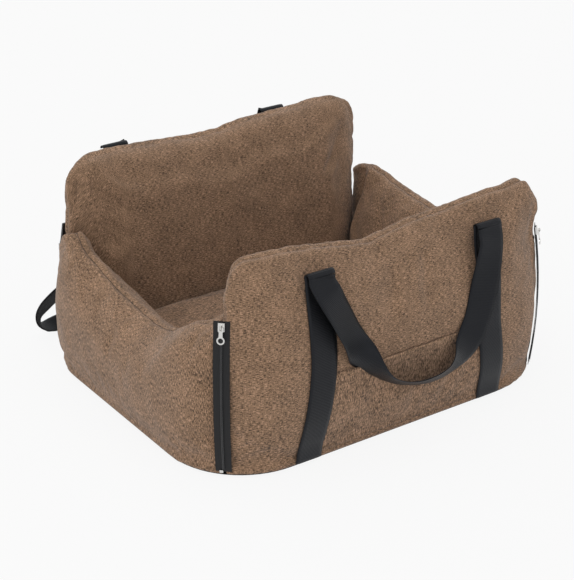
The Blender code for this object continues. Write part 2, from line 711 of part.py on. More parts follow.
def fold_seam():
    """Corded seam along the front fold line."""
    half = ARC_X - SEAM_END_INSET
    points = [(-half, FOLD_Y, FOLD_Z), (0, FOLD_Y, FOLD_Z), (half, FOLD_Y, FOLD_Z)]
    wire("front_fold_seam", points, SEAM_RADIUS, woven_cover, sides=1)


def seat_cushion():
    """Loose seat cushion: crowned faces with sides drawn in towards the seam."""
    half_x = INNER_X - CUSHION_CLEARANCE
    half_y = INNER_Y - CUSHION_CLEARANCE
    low = WALL_BASE_Z
    side_low = low + CUSHION_CROWN / 2
    side_high = low + CUSHION_HEIGHT - CUSHION_CROWN
    rings = []
    for share in CUSHION_SIDE:
        z = side_low + (side_high - side_low) * share
        draw = CUSHION_DRAW_IN * (1 - (2 * share - 1) ** 2)
        outline = rounded_rectangle(2 * (half_x - draw), 2 * (half_y - draw), CUSHION_CORNER, 4)
        rings.append([Vector((x, y, z)) for x, y in outline])
    below = [[Vector((p.x * share, p.y * share, low)) for p in rings[0]] for share in CUSHION_UNDER]
    above = [[Vector((p.x * share, p.y * share, side_high + CUSHION_CROWN * rise)) for p in rings[-1]]
             for share, rise in CUSHION_OVER]
    rows = below + rings + above
    cover, fill = padded_pair("seat_cushion", rows, slot=(0, 3))
    for obj in (cover, fill):
        move_origin(obj, (0, 0, low))


def face_y(z):
    """Depth of the front face's outermost line at this height, measured to the front."""
    return HALF_DEPTH - belly(z)


def strap_y(z, loop_z):
    """Depth of a strap's middle at a height, measured outwards like face_y."""
    free = max(0.0, (z - STRAP_SEWN_Z) / (loop_z - STRAP_SEWN_Z))
    return face_y(z) + STRAP_STANDOFF + STRAP_FREE_STANDOFF * free + WEBBING_THICKNESS / 2


def sewn_strap(name, side, facing, loop_z):
    """Webbing up a long wall, over a small loop at the top; facing is -1 front, +1 rear."""
    middle = -REAR_STRAPS_SET_LEFT if facing > 0 else 0.0
    stations = []
    for share in STRAP_SHARES:
        z = STRAP_FOOT_Z + (loop_z - STRAP_FOOT_Z) * share
        x = middle + side * (STRAP_FOOT_X + (STRAP_TOP_X - STRAP_FOOT_X) * min(1.0, share / STRAP_LEAN_END))
        stations.append(((x, facing * strap_y(z, loop_z), z), (1, 0, 0)))
    x, y, z = stations[-1][0]
    for turn in LOOP_TURNS:
        stations.append(((x, y + facing * LOOP_RADIUS * (1 - cos(radians(turn))),
                          z + LOOP_RADIUS * sin(radians(turn))), (1, 0, 0)))
    return ribbon(name, stations, WEBBING_WIDTH, WEBBING_THICKNESS, black_webbing)


def loop_axis(facing, loop_z):
    """Depth and height of the line that a carry handle swings about."""
    return facing * (strap_y(loop_z, loop_z) + LOOP_RADIUS), loop_z


def front_handle():
    """Carry handle of the front wall, hanging in a twisted bight."""
    axis_y, axis_z = loop_axis(-1, FRONT_LOOP_Z)
    start = axis_y - HANDLE_RADIUS
    left = [((-STRAP_TOP_X, start, axis_z), (1, 0, 0)),
            ((-STRAP_TOP_X, start, axis_z - HANDLE_LEAD), (1, 0, 0))]
    right = [((STRAP_TOP_X, start, axis_z - HANDLE_LEAD), (-1, 0, 0)),
             ((STRAP_TOP_X, start, axis_z), (-1, 0, 0))]
    bight = [((x, -HALF_DEPTH - out, z), (wx, wy, wz)) for x, out, z, wx, wy, wz in FRONT_BIGHT]
    stations = left + bight + right
    handle = ribbon("front_handle", stations, WEBBING_WIDTH, WEBBING_THICKNESS, black_webbing)
    move_origin(handle, (0, axis_y, axis_z))


def rear_handle():
    """Carry handle of the rear wall, hanging in a plain bight."""
    axis_y, axis_z = loop_axis(1, REAR_LOOP_Z)
    half = STRAP_TOP_X
    stations = []
    for step in range(REAR_HANDLE_STEPS + 1):
        side = 2 * step / REAR_HANDLE_STEPS - 1
        sag = 1 - abs(side) ** REAR_HANDLE_POWER
        x = half * side - REAR_STRAPS_SET_LEFT
        z = axis_z - REAR_HANDLE_DROP * sag
        start = axis_y + HANDLE_RADIUS
        drape = max(face_y(z) + HANDLE_STANDOFF, start)
        hang = min(1.0, (axis_z - z) / HANDLE_DRAPE)
        y = start + (drape - start) * hang + REAR_HANDLE_BULGE * sag ** 4
        twist = radians(REAR_HANDLE_TWIST) * sag ** 6
        slope = REAR_HANDLE_DROP * REAR_HANDLE_POWER * abs(side) ** (REAR_HANDLE_POWER - 1)
        along = Vector((half, 0, slope if side > 0 else -slope)).normalized()
        flat = Vector((-along.z, 0, along.x))
        across = flat * cos(twist) + Vector((0, 1, 0)) * sin(twist)
        stations.append(((x, y, z), across))
    handle = ribbon("rear_handle", stations, WEBBING_WIDTH, WEBBING_THICKNESS, black_webbing)
    move_origin(handle, (0, axis_y, axis_z))


def front_pocket():
    """Flat pocket cloth on the front wall, open along its top edge."""
    stations = []
    for share in POCKET_SHARES:
        z = POCKET_FOOT_Z + (POCKET_MOUTH_Z - POCKET_FOOT_Z) * share
        y = -(face_y(z) + GAP + POCKET_THICKNESS / 2)
        stations.append(((0, y, z), (1, 0, 0)))
    ribbon("front_pocket", stations, POCKET_WIDTH, POCKET_THICKNESS, woven_cover)


class ZipLine:
    """The bowed line of a corner zip; side is -1 left, +1 right."""

    def __init__(self, side):
        reach = CORNER_RADIUS * sin(radians(MITRE))
        self.corner = Vector((side * (ARC_X + reach), -ARC_Y - reach, 0))
        self.out = Vector((side, -1, 0)).normalized()
        self.front = Vector((-side, -1, 0)).normalized()

    def at(self, z, out=0.0, front=0.0):
        """Point beside the line: height, distance out of the cloth, distance to the front."""
        point = self.corner + self.out * (out - belly(z)) + self.front * front
        return Vector((point.x, point.y, z))

    def pivot(self):
        """Centre of the bow, which the slider travels round."""
        return self.corner - self.out * BELLY_RADIUS + Vector((0, 0, BELLY_HEIGHT))

    def frame(self, z):
        """Matrix at a height: X towards the front wall, Y along the zip, Z out of the cloth."""
        lean = (z - BELLY_HEIGHT) / BELLY_RADIUS
        up = (Vector((0, 0, 1)) - self.out * lean).normalized()
        out = (self.out + Vector((0, 0, 1)) * lean).normalized()
        right = up.cross(out)
        matrix = Matrix((right, up, out)).transposed().to_4x4()
        matrix.translation = self.at(z)
        return matrix


def zip_strip(name, line, low, high, inner, width, out, thickness, finish):
    """A strip along the zip: its near edge, width and standoff."""
    stations = []
    for step in range(ZIP_STEPS + 1):
        z = low + (high - low) * step / ZIP_STEPS
        centre = line.at(z, out + thickness / 2, inner + width / 2)
        stations.append((centre, line.front))
    return ribbon(name, stations, abs(width), thickness, finish)


def zip_half(prefix, line, towards):
    """Tape and coil on one side of a zip; towards is +1 for the front wall, -1 for the side wall."""
    owner = "front" if towards > 0 else "side"
    edge = towards * GAP / 2
    zip_strip(f"{prefix}_zip_{owner}_tape", line, ZIP_FOOT_Z, ZIP_TOP_Z, edge, towards * TAPE_WIDTH,
              TAPE_STANDOFF, TAPE_THICKNESS, zip_black)
    zip_strip(f"{prefix}_zip_{owner}_coil", line, ZIP_FOOT_Z + STOP_LENGTH + GAP, ZIP_TOP_Z - COIL_END,
              edge, towards * COIL_WIDTH, COIL_STANDOFF, COIL_HEIGHT, zip_black)


def zip_stop(prefix, line):
    """Metal bottom stop, crimped on the side wall's tape below the coil."""
    frame = line.frame(ZIP_FOOT_Z + STOP_LENGTH / 2 - COIL_END)
    to_front = 1 if frame.to_3x3().col[0].dot(line.front) > 0 else -1
    shift = -to_front * (STOP_WIDTH + GAP) / 2
    matrix = frame @ Matrix.Translation((shift, 0, COIL_STANDOFF + STOP_HEIGHT / 2))
    outline = rounded_rectangle(STOP_WIDTH, STOP_LENGTH, STOP_ROUNDING, 2)
    plate(f"{prefix}_zip_stop", [outline], STOP_HEIGHT, matrix, bright_metal)


def zip_slider(prefix, line):
    """Slider: a channel over both coils with a bridge for the puller, and its travel's pivot."""
    half = SLIDER_WIDTH / 2
    lip = half - SLIDER_WALL
    floor = COIL_STANDOFF
    foot = PLATE_TOP - SLIDER_CHAMFER
    outline = [(-half, floor), (-lip, floor), (-lip, CAP_STANDOFF), (lip, CAP_STANDOFF), (lip, floor),
               (half, floor), (half, foot), (half - SLIDER_CHAMFER, PLATE_TOP),
               (-half + SLIDER_CHAMFER, PLATE_TOP), (-half, foot)]
    frame = line.frame(SLIDER_Z)
    upright = Matrix.Rotation(radians(90), 4, "X")
    body = plate(f"{prefix}_zip_slider", [outline], SLIDER_LENGTH, frame @ upright, bright_metal)
    span = BRIDGE_SPAN / 2
    rise = PLATE_TOP + BRIDGE_RISE
    arch = [(0, -span, foot), (0, -span, rise - BRIDGE_CORNER), (0, -span + BRIDGE_CORNER, rise),
            (0, span - BRIDGE_CORNER, rise), (0, span, rise - BRIDGE_CORNER), (0, span, foot)]
    bridge = wire(f"{prefix}_bridge_tool", [frame @ Vector(p) for p in arch], BRIDGE_WIRE,
                  bright_metal, sides=2)
    add_cutter(bridge)
    join = body.modifiers.new("bridge", "BOOLEAN")
    join.operation = "UNION"
    join.object = bridge
    move_origin(body, line.pivot())
    return frame


def zip_puller(prefix, frame):
    """Puller: a flat tag with an eye round the bridge and a ring at its lower end."""
    top = PULLER_BAR / 2
    bottom = -PULLER_LENGTH + PULLER_RING_RADIUS
    half = PULLER_WIDTH / 2
    neck = half - PULLER_NECK_INSET
    neck_low = -PULLER_EYE_LENGTH - PULLER_NECK_LENGTH
    head_low = -PULLER_EYE_LENGTH - PULLER_BAR
    outline = [(-half + PULLER_CHAMFER, top), (-half, top - PULLER_CHAMFER),
               (-half, head_low), (-neck, neck_low)]
    outline += arc_points((0, bottom), PULLER_RING_RADIUS, 120, 420, 14)
    outline += [(neck, neck_low), (half, head_low),
                (half, top - PULLER_CHAMFER), (half - PULLER_CHAMFER, top)]
    eye_low = -top - PULLER_EYE_LENGTH
    eye = [(-PULLER_EYE_WIDTH / 2, -top), (-PULLER_EYE_WIDTH / 2, eye_low),
           (PULLER_EYE_WIDTH / 2, eye_low), (PULLER_EYE_WIDTH / 2, -top)]
    hole = arc_points((0, bottom), PULLER_HOLE_RADIUS, 0, 330, 11)
    place = frame @ Matrix.Translation((0, 0, PULLER_STANDOFF))
    tag = plate(f"{prefix}_zip_puller", [outline, eye, hole], PULLER_THICKNESS, place, bright_metal)
    move_origin(tag, place.translation)


def corner_zip(prefix, side):
    """One corner zip: tapes, coils, stop, slider and puller."""
    line = ZipLine(side)
    zip_half(prefix, line, 1)
    zip_half(prefix, line, -1)
    zip_stop(prefix, line)
    frame = zip_slider(prefix, line)
    zip_puller(prefix, frame)


def keyhole(name, x, hole_z, hole_radius, tail_end, width, finish):
    """Webbing folded round a bar along X and sewn to itself; tail_end is (out, up) from the bar."""
    outer = hole_radius + TAB_WALL
    out, up = tail_end
    facing = 1 if up > 0 else -1
    tail = facing * TAB_TAIL_THICKNESS / 2
    start = facing * 90 + TAIL_ANGLE
    outline = arc_points((0, 0), outer, start, start + 360 - 2 * TAIL_ANGLE, 14)
    outline += [(out + tail, up), (out - tail, up)]
    hole = arc_points((0, 0), hole_radius, 0, 330, 11)
    # The plate's own X, Y and Z are turned to the bed's Y, Z and X
    turn = Matrix(((0, 0, 1, 0), (1, 0, 0, 0), (0, 1, 0, 0), (0, 0, 0, 1)))
    place = Matrix.Translation((x, RING_Y, hole_z)) @ turn
    return plate(name, [outline, hole], width, place, finish)


def rear_fitting(prefix, side):
    """Sewn tab, D-ring, snap hook with its gate, swivel eye and the tether's sewn end."""
    x = side * RING_X
    tab_end = (-TAB_REACH, TAB_HEIGHT)
    keyhole(f"{prefix}_ring_tab", x, RING_Z, RING_WIRE + GAP, tab_end, TAB_WIDTH, black_webbing)
    pivot = (x, RING_Y, RING_Z)
    bow_z = RING_Z - RING_DROP
    half = RING_HALF_WIDTH
    ring = [(-half, RING_Z), (half, RING_Z)]
    ring += arc_points((half - RING_BEND, bow_z + RING_BEND), RING_BEND, 0, -90, 5)
    ring += arc_points((-half + RING_BEND, bow_z + RING_BEND), RING_BEND, -90, -180, 5)
    d_ring = wire(f"{prefix}_d_ring", [(x + px, RING_Y, pz) for px, pz in ring], RING_WIRE,
                  bright_metal, cyclic=True)
    move_origin(d_ring, pivot)
    shank_z = bow_z - HOOK_SHANK
    barrel_low = shank_z - BARREL_LENGTH
    hook = [(x, RING_Y, barrel_low)]
    hook += [(x, RING_Y + out, shank_z + up) for out, up in HOOK_NECK]
    hook += [(x, RING_Y + py, bow_z + pz) for py, pz in arc_points((0, 0), HOOK_RADIUS, 0, 180, 8)]
    hook += [(x, RING_Y - HOOK_RADIUS, bow_z - HOOK_NOSE)]
    grow = BARREL_RADIUS / HOOK_WIRE
    scales = [grow, grow, HOOK_NECK_SCALE] + [1.0] * (len(hook) - 3)
    body = wire(f"{prefix}_snap_hook", hook, HOOK_WIRE, bright_metal, scales=scales)
    move_origin(body, pivot)
    gate_top = bow_z - HOOK_NOSE - GAP
    gate_low = shank_z + GATE_FOOT
    gate = [(x, RING_Y - HOOK_RADIUS, gate_low), (x, RING_Y - HOOK_RADIUS, (gate_low + gate_top) / 2),
            (x, RING_Y - HOOK_RADIUS, gate_top)]
    latch = wire(f"{prefix}_hook_gate", gate, GATE_WIRE, bright_metal)
    move_origin(latch, gate[0])
    eye_top = barrel_low - GAP - EYE_WIRE
    eye_low = eye_top - EYE_HEIGHT
    outline = rounded_rectangle(2 * EYE_HALF_WIDTH, EYE_HEIGHT, EYE_ROUNDING, 3)
    eye = [(x + px, RING_Y, (eye_top + eye_low) / 2 + pz) for px, pz in outline]
    swivel = wire(f"{prefix}_swivel_eye", eye, EYE_WIRE, bright_metal, cyclic=True, sides=1)
    move_origin(swivel, pivot)
    end = keyhole(f"{prefix}_tether_end", x, eye_low, EYE_WIRE + GAP, (0.0, -TETHER_END_LENGTH),
                  TETHER_WIDTH, black_webbing)
    move_origin(end, pivot)
    return eye_low - TETHER_END_LENGTH - GAP


def tether(top_z):
    """Tether webbing from hook to hook, hanging to the floor behind the bed, with its adjuster."""
    half = [(-RING_X + along, RING_Y + out, z, wx, wy, wz) for along, out, z, wx, wy, wz in TETHER_HANG]
    half += [(-TETHER_MIDDLE, RING_Y + TETHER_OUT, TETHER_Z, *TETHER_LIE),
             (0, RING_Y + TETHER_OUT + TETHER_BOW, TETHER_Z, *TETHER_LIE)]
    route = [(-RING_X, RING_Y, top_z, 1.0, 0.0, 0.0)] + smooth_route(half, ROUTE_STEPS)
    full = route + [(-x, y, z, -wx, wy, wz) for x, y, z, wx, wy, wz in reversed(route[:-1])]
    stations = [((x, y, z), (wx, wy, wz)) for x, y, z, wx, wy, wz in full]
    strap = ribbon("tether_strap", stations, TETHER_WIDTH, TETHER_THICKNESS, black_webbing)
    move_origin(strap, (0, RING_Y, RING_Z))
    # The adjuster's hole takes the webbing as it lies at the middle of its run
    across = Vector(TETHER_LIE).normalized()
    along = Vector((1, 0, 0))
    face = along.cross(across)
    matrix = Matrix((across, face, along)).transposed().to_4x4()
    matrix.translation = Vector((ADJUSTER_X, RING_Y + TETHER_OUT + TETHER_BOW / 2, TETHER_Z))
    inner_width = TETHER_WIDTH + 2 * ADJUSTER_CLEARANCE
    inner_depth = TETHER_THICKNESS + 2 * ADJUSTER_CLEARANCE
    outer = rounded_rectangle(inner_width + 2 * ADJUSTER_WALL, inner_depth + 2 * ADJUSTER_WALL,
                              ADJUSTER_ROUNDING, 2)
    inner = rounded_rectangle(inner_width, inner_depth, SLOT_ROUNDING, 2)
    keeper = plate("tether_adjuster", [outer, inner], ADJUSTER_LENGTH, matrix, bright_metal)
    move_origin(keeper, (0, RING_Y, RING_Z))


def build():
    """Build the whole bed."""
    base()
    fold_seam()
    seat_cushion()
    front_wall()
    rear_wall()
    side_wall("left_wall", -1, LEFT_TOP, LEFT_REAR_DROPS)
    side_wall("right_wall", 1, RIGHT_TOP, RIGHT_REAR_DROPS)
    for name, side in (("left", -1), ("right", 1)):
        sewn_strap(f"front_{name}_strap", side, -1, FRONT_LOOP_Z)
        sewn_strap(f"rear_{name}_strap", side, 1, REAR_LOOP_Z)
        corner_zip(name, side)
    front_handle()
    rear_handle()
    front_pocket()
    top_z = rear_fitting("left", -1)
    rear_fitting("right", 1)
    tether(top_z)


clear_scene()
parts = new_collection("dog_car_bed")
cutters = new_collection("cutters")
build()
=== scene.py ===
from math import atan2, cos, exp, hypot, pi, radians, sin, sqrt
import bmesh
import bpy
from mathutils import Matrix, Vector, noise
from mathutils.bvhtree import BVHTree
from mathutils.kdtree import KDTree


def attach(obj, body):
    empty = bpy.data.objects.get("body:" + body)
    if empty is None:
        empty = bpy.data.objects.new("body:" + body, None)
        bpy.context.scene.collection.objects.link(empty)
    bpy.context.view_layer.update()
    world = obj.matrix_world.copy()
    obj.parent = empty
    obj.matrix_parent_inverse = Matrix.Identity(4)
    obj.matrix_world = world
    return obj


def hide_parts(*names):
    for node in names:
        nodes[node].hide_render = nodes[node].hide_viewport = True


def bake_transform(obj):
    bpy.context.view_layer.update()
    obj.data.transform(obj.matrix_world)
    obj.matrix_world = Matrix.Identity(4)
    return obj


# Dog car bed: four padded walls round a loose cushion. Lengths are written in mm and turned to metres.
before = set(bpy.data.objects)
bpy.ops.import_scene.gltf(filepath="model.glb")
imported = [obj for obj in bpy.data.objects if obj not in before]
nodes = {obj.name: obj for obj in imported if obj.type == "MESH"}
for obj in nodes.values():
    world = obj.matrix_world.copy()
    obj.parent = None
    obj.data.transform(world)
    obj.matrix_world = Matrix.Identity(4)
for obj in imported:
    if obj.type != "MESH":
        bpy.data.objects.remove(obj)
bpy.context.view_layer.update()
scene = bpy.context.scene
mm = 0.001
print("frame loaded:", len(nodes), "nodes")


# small tools that every piece uses

def hexColour(text):
    values = [int(text[i:i + 2], 16) / 255 for i in (1, 3, 5)]
    return tuple(v / 12.92 if v <= 0.04045 else ((v + 0.055) / 1.055) ** 2.4 for v in values) + (1.0,)


def setInputs(tree, node, inputs):
    # a plain value is set, a socket is linked, and a node stands for its first output
    for key, value in inputs.items():
        value = value.outputs[0] if isinstance(value, bpy.types.Node) else value
        if isinstance(value, bpy.types.NodeSocket):
            tree.links.new(value, node.inputs[key])
        else:
            node.inputs[key].default_value = value


def addNode(tree, kind, settings=None, inputs=None, stops=None):
    # one node with its settings, its inputs, and the stops of a colour ramp
    node = tree.nodes.new("ShaderNode" + kind)
    for key, value in (settings or {}).items():
        setattr(node, key, value)
    setInputs(tree, node, inputs or {})
    if stops:
        ramp = node.color_ramp
        while len(ramp.elements) < len(stops):
            ramp.elements.new(0.5)
        for element, (place, colour) in zip(ramp.elements, stops):
            element.position = place
            element.color = hexColour(colour) if isinstance(colour, str) else (colour, colour, colour, 1)
    return node


def startMaterial(name, shaderInputs):
    material = bpy.data.materials.new(name)
    material.use_nodes = True
    tree = material.node_tree
    shader = tree.nodes["Principled BSDF"]
    setInputs(tree, shader, shaderInputs)
    return material, tree, shader


def placeFor(tree, follows):
    # where the pattern is read: the piece's own unrolled cloth or webbing, or plain space
    if follows:
        return addNode(tree, "Attribute", {"attribute_name": "lay"}).outputs["Vector"]
    return addNode(tree, "TexCoord").outputs["Object"]


def smoothStep(value):
    value = min(1.0, max(0.0, value))
    return value * value * (3 - 2 * value)


def curveAt(a, b, c, d, t):
    # smooth curve between b and c, on its way from a to d
    return 0.5 * (2 * b + (c - a) * t + (2 * a - 5 * b + 4 * c - d) * t * t
                  + (3 * b - a - 3 * c + d) * t ** 3)


def readOutline(points, place):
    # height of an outline at a place, smooth through its points
    if place <= points[0][0]:
        return points[0][1]
    for index in range(len(points) - 1):
        (x1, z1), (x2, z2) = points[index], points[index + 1]
        if place <= x2:
            z0 = points[max(index - 1, 0)][1]
            z3 = points[min(index + 2, len(points) - 1)][1]
            return curveAt(z0, z1, z2, z3, (place - x1) / (x2 - x1))
    return points[-1][1]


def smoothRoute(points, steps):
    # places along a smooth curve through given points, as tuples of any length
    route = []
    for index in range(len(points) - 1):
        rows = (points[max(index - 1, 0)], points[index], points[index + 1],
                points[min(index + 2, len(points) - 1)])
        for step in range(steps):
            route.append(tuple(curveAt(*values, step / steps) for values in zip(*rows)))
    route.append(tuple(points[-1]))
    return route


def sweep(name, sections, lays=None):
    # a ring of vertices is put on the first section, then its edges are extruded to each next one;
    # lays gives each vertex its place on the piece (across, along, 0) for the weave
    mesh = bmesh.new()
    lay = mesh.verts.layers.float_vector.new("lay") if lays else None
    ring = bmesh.ops.create_circle(mesh, segments=len(sections[0]), radius=1)["verts"]
    for vert, point in zip(ring, sections[0]):
        vert.co = point
    first = ring
    if lay:
        for vert, place in zip(ring, lays[0]):
            vert[lay] = place
    for row, section in enumerate(sections[1:], 1):
        members = set(ring)
        # a dictionary keeps the edges in order, so that every run makes the same mesh
        loop = dict.fromkeys(edge for vert in ring for edge in vert.link_edges
                             if all(v in members for v in edge.verts))
        made = bmesh.ops.extrude_edge_only(mesh, edges=list(loop))["geom"]
        fresh = {item for item in made if isinstance(item, bmesh.types.BMVert)}
        ahead = [next(e.other_vert(v) for e in v.link_edges if e.other_vert(v) in fresh) for v in ring]
        for vert, point in zip(ahead, section):
            vert.co = point
        if lay:
            for vert, place in zip(ahead, lays[row]):
                vert[lay] = place
        ring = ahead
    half = len(ring) // 2
    for end in (first, ring):
        edges = dict.fromkeys(e for v in end[half:] + end[:half] for e in v.link_edges if e.is_boundary)
        bmesh.ops.edgeloop_fill(mesh, edges=list(edges))
    bmesh.ops.recalc_face_normals(mesh, faces=mesh.faces)
    return finishMesh(name, mesh)


def finishMesh(name, mesh):
    data = bpy.data.meshes.new(name)
    mesh.to_mesh(data)
    mesh.free()
    data.shade_smooth()
    piece = bpy.data.objects.new(name, data)
    scene.collection.objects.link(piece)
    return piece


def surfaceOf(piece):
    data = piece.data
    return BVHTree.FromPolygons([v.co for v in data.vertices], [p.vertices[:] for p in data.polygons])


def searchOf(points):
    search = KDTree(len(points))
    for index, point in enumerate(points):
        search.insert(point, index)
    search.balance()
    return search


def dress(piece, material, body, replaced=()):
    # finish of a piece, the body it moves with and the CAD nodes it stands for
    piece.data.materials.clear()
    piece.data.materials.append(material)
    if body:
        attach(piece, body)
    if replaced:
        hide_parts(*replaced)
    return piece


# camera, light and ground

view = {
    "place": (-1230.57, -1746.4, 1143.57), "look": (0.5142, 0.7392, -0.4349),
    "lens": 103.54,  # the photograph's field of view on a 36 mm sensor
}


def placeCamera():
    camera = bpy.data.objects.new("camera", bpy.data.cameras.new("camera"))
    camera.data.lens = view["lens"]
    camera.data.sensor_width = 36
    back = -Vector(view["look"]).normalized()
    right = Vector((0, 0, 1)).cross(back).normalized()
    turn = Matrix((right, back.cross(right), back)).transposed().to_4x4()
    camera.matrix_world = Matrix.Translation(Vector(view["place"]) * mm) @ turn
    scene.collection.objects.link(camera)
    scene.camera = camera


light = {
    # name: place in mm, size in mm, watts
    "key": ((-1350, -1400, 1100), 900, 4.5),
    "fill": ((1900, -1300, 1300), 1900, 1),
    "back": ((-300, 1900, 2300), 1500, 5),
    # strength of the even light from all round, as in a light tent, and what its top and its left add
    "sky": 0.7, "skyTop": 0.85, "skyLeft": 0.22,
    "aim": (0, 0, 120), "backdrop": "#fafafa", "floor": "#f2f2f2",
    "floorGlow": 0.93,  # share of the backdrop in what is seen of the floor, which keeps a soft shadow
}


def seenRays(tree):
    # 1 for what is seen, straight, through glass or in a reflection, and 0 for what lights the bed
    rays = addNode(tree, "LightPath")
    seen = rays.outputs["Is Camera Ray"]
    for kind in ("Is Transmission Ray", "Is Glossy Ray"):
        most = addNode(tree, "Math", {"operation": "MAXIMUM"}, {0: seen, 1: rays.outputs[kind]})
        seen = most.outputs[0]
    return seen


def setLight():
    for name in ("key", "fill", "back"):
        place, size, watts = light[name]
        lamp = bpy.data.lights.new(name, "AREA")
        lamp.size = size * mm
        lamp.energy = watts
        item = bpy.data.objects.new(name, lamp)
        item.location = Vector(place) * mm
        aim = Vector(light["aim"]) * mm - item.location
        item.rotation_euler = aim.to_track_quat("-Z", "Y").to_euler()
        scene.collection.objects.link(item)
    world = bpy.data.worlds.new("studio")
    world.use_nodes = True
    tree = world.node_tree
    tree.nodes.clear()
    seen = seenRays(tree)
    way = addNode(tree, "SeparateXYZ", None, {0: addNode(tree, "TexCoord").outputs["Generated"]})
    up = addNode(tree, "Math", {"operation": "MAXIMUM"}, {0: way.outputs["Z"], 1: 0.0})
    lit = light["sky"]
    for part, more in ((up.outputs[0], light["skyTop"]), (way.outputs["X"], -light["skyLeft"])):
        lit = addNode(tree, "Math", {"operation": "MULTIPLY_ADD"}, {0: part, 1: more, 2: lit})
    even = addNode(tree, "Background", None, {"Strength": lit})
    pale = addNode(tree, "Background", None, {"Color": hexColour(light["backdrop"]), "Strength": 1.0})
    mixed = addNode(tree, "MixShader", None, {0: seen, 1: even, 2: pale})
    addNode(tree, "OutputWorld", None, {"Surface": mixed})
    scene.world = world
    scene.view_settings.view_transform = "Standard"


def layGround():
    # pale floor that keeps a soft shadow and fades into the background further out
    mesh = bmesh.new()
    bmesh.ops.create_circle(mesh, cap_ends=True, segments=64, radius=6)
    piece = finishMesh("floor", mesh)
    material, tree, shader = startMaterial("paleFloor", {
        "Roughness": 0.8, "Base Color": hexColour(light["floor"]), "Specular IOR Level": 0.2})
    seen = seenRays(tree)
    share = addNode(tree, "Math", {"operation": "MULTIPLY"}, {0: seen, 1: light["floorGlow"]})
    glow = addNode(tree, "Emission", None, {"Color": hexColour(light["backdrop"]), "Strength": 1.0})
    mixed = addNode(tree, "MixShader", None, {0: share, 1: shader, 2: glow})
    setInputs(tree, tree.nodes["Material Output"], {"Surface": mixed})
    piece.data.materials.append(material)


placeCamera()
setLight()
layGround()
print("camera, light and ground set")


# materials

heather = {
    # seamShade is painted shade: the colour that darkens the cloth in each seam's sunk groove
    "light": "#b38f76", "middle": "#876b51", "deep": "#5f4938", "dark": "#2e221a", "seamShade": "#7d7068",
    # yarns are 0.5 mm apart in the real cloth and drawn 0.85 mm apart, so that they show
    "yarnLong": 5.0 * mm, "yarnApart": 0.85 * mm, "seamHalf": 1.1 * mm,
}


def heatherCloth(name, turned, follows=True):
    # brown heathered polyester in a linen weave: a matt melange of light, brown and near-black yarns,
    # seen as short dashes along the yarn; turned swaps the yarn's direction
    material, tree, shader = startMaterial(name, {"Roughness": 0.93, "Sheen Weight": 0.12,
                                                  "Sheen Roughness": 0.6, "Specular IOR Level": 0.25})
    place = placeFor(tree, follows)
    # a seam's line: across it, how strong it is there; along it the colour gets painted shade and the bump
    # sinks
    seam = addNode(tree, "Attribute", {"attribute_name": "seam"}).outputs["Vector"]
    seam = addNode(tree, "SeparateXYZ", None, {0: seam})
    gap = addNode(tree, "Math", {"operation": "ABSOLUTE"}, {0: seam})
    line = addNode(tree, "MapRange", {"interpolation_type": "SMOOTHSTEP"},
                   {"Value": gap, "From Max": heather["seamHalf"], "To Min": 0.8, "To Max": 0.0})
    line = addNode(tree, "Math", {"operation": "MULTIPLY"}, {0: line, 1: seam.outputs[1]})
    long, thin = 1 / heather["yarnLong"], 1 / heather["yarnApart"]
    weft, warp = (long, thin, thin), (thin, long, thin)
    if turned:
        weft, warp = (thin, long, thin), (long, thin, thin)
    yarn = None
    # dashes along the weft, the warp crossing them, specks, and slow clouds of the melange
    for stretch, share, size, detail, roughness in (
            (weft, 1.0, 1.0, 2.0, 0.65), (warp, 0.35, 0.8, 2.0, 0.6),
            ((900, 900, 900), 0.22, 1.0, 1.0, 0.5), ((28, 28, 28), 0.14, 1.0, 3.0, 0.5)):
        spot = addNode(tree, "Mapping", None, {"Vector": place, "Scale": stretch})
        noisy = addNode(tree, "TexNoise", None,
                        {"Vector": spot, "Scale": size, "Detail": detail, "Roughness": roughness})
        if yarn:
            noisy = addNode(tree, "Math", {"operation": "MULTIPLY_ADD"}, {0: noisy, 1: share, 2: yarn})
        yarn = noisy
    spread = addNode(tree, "MapRange", None, {"Value": yarn, "From Min": 0.6, "From Max": 1.11})
    colour = addNode(tree, "ValToRGB", None, {"Fac": spread},
                     stops=[(0.14, heather["dark"]), (0.38, heather["deep"]), (0.54, heather["middle"]),
                            (0.84, heather["light"])])
    # painted shade: along a seam's line the cloth's colour is multiplied by seamShade, darkening the groove
    seamShadedColour = addNode(tree, "Mix", {"data_type": "RGBA", "blend_type": "MULTIPLY"},
                     {0: line, 6: colour, 7: hexColour(heather["seamShade"])})
    weave = addNode(tree, "Bump", None, {"Height": yarn, "Strength": 0.45, "Distance": 0.6 * mm})
    sunk = addNode(tree, "Bump", {"invert": True},
                   {"Height": line, "Distance": 1.4 * mm, "Normal": weave})
    setInputs(tree, shader, {"Base Color": seamShadedColour.outputs[2], "Normal": sunk})
    return material


def waveScale(apart):
    # scale of a wave texture whose bands are this many mm apart
    return 2 * pi / (apart * mm) / 20


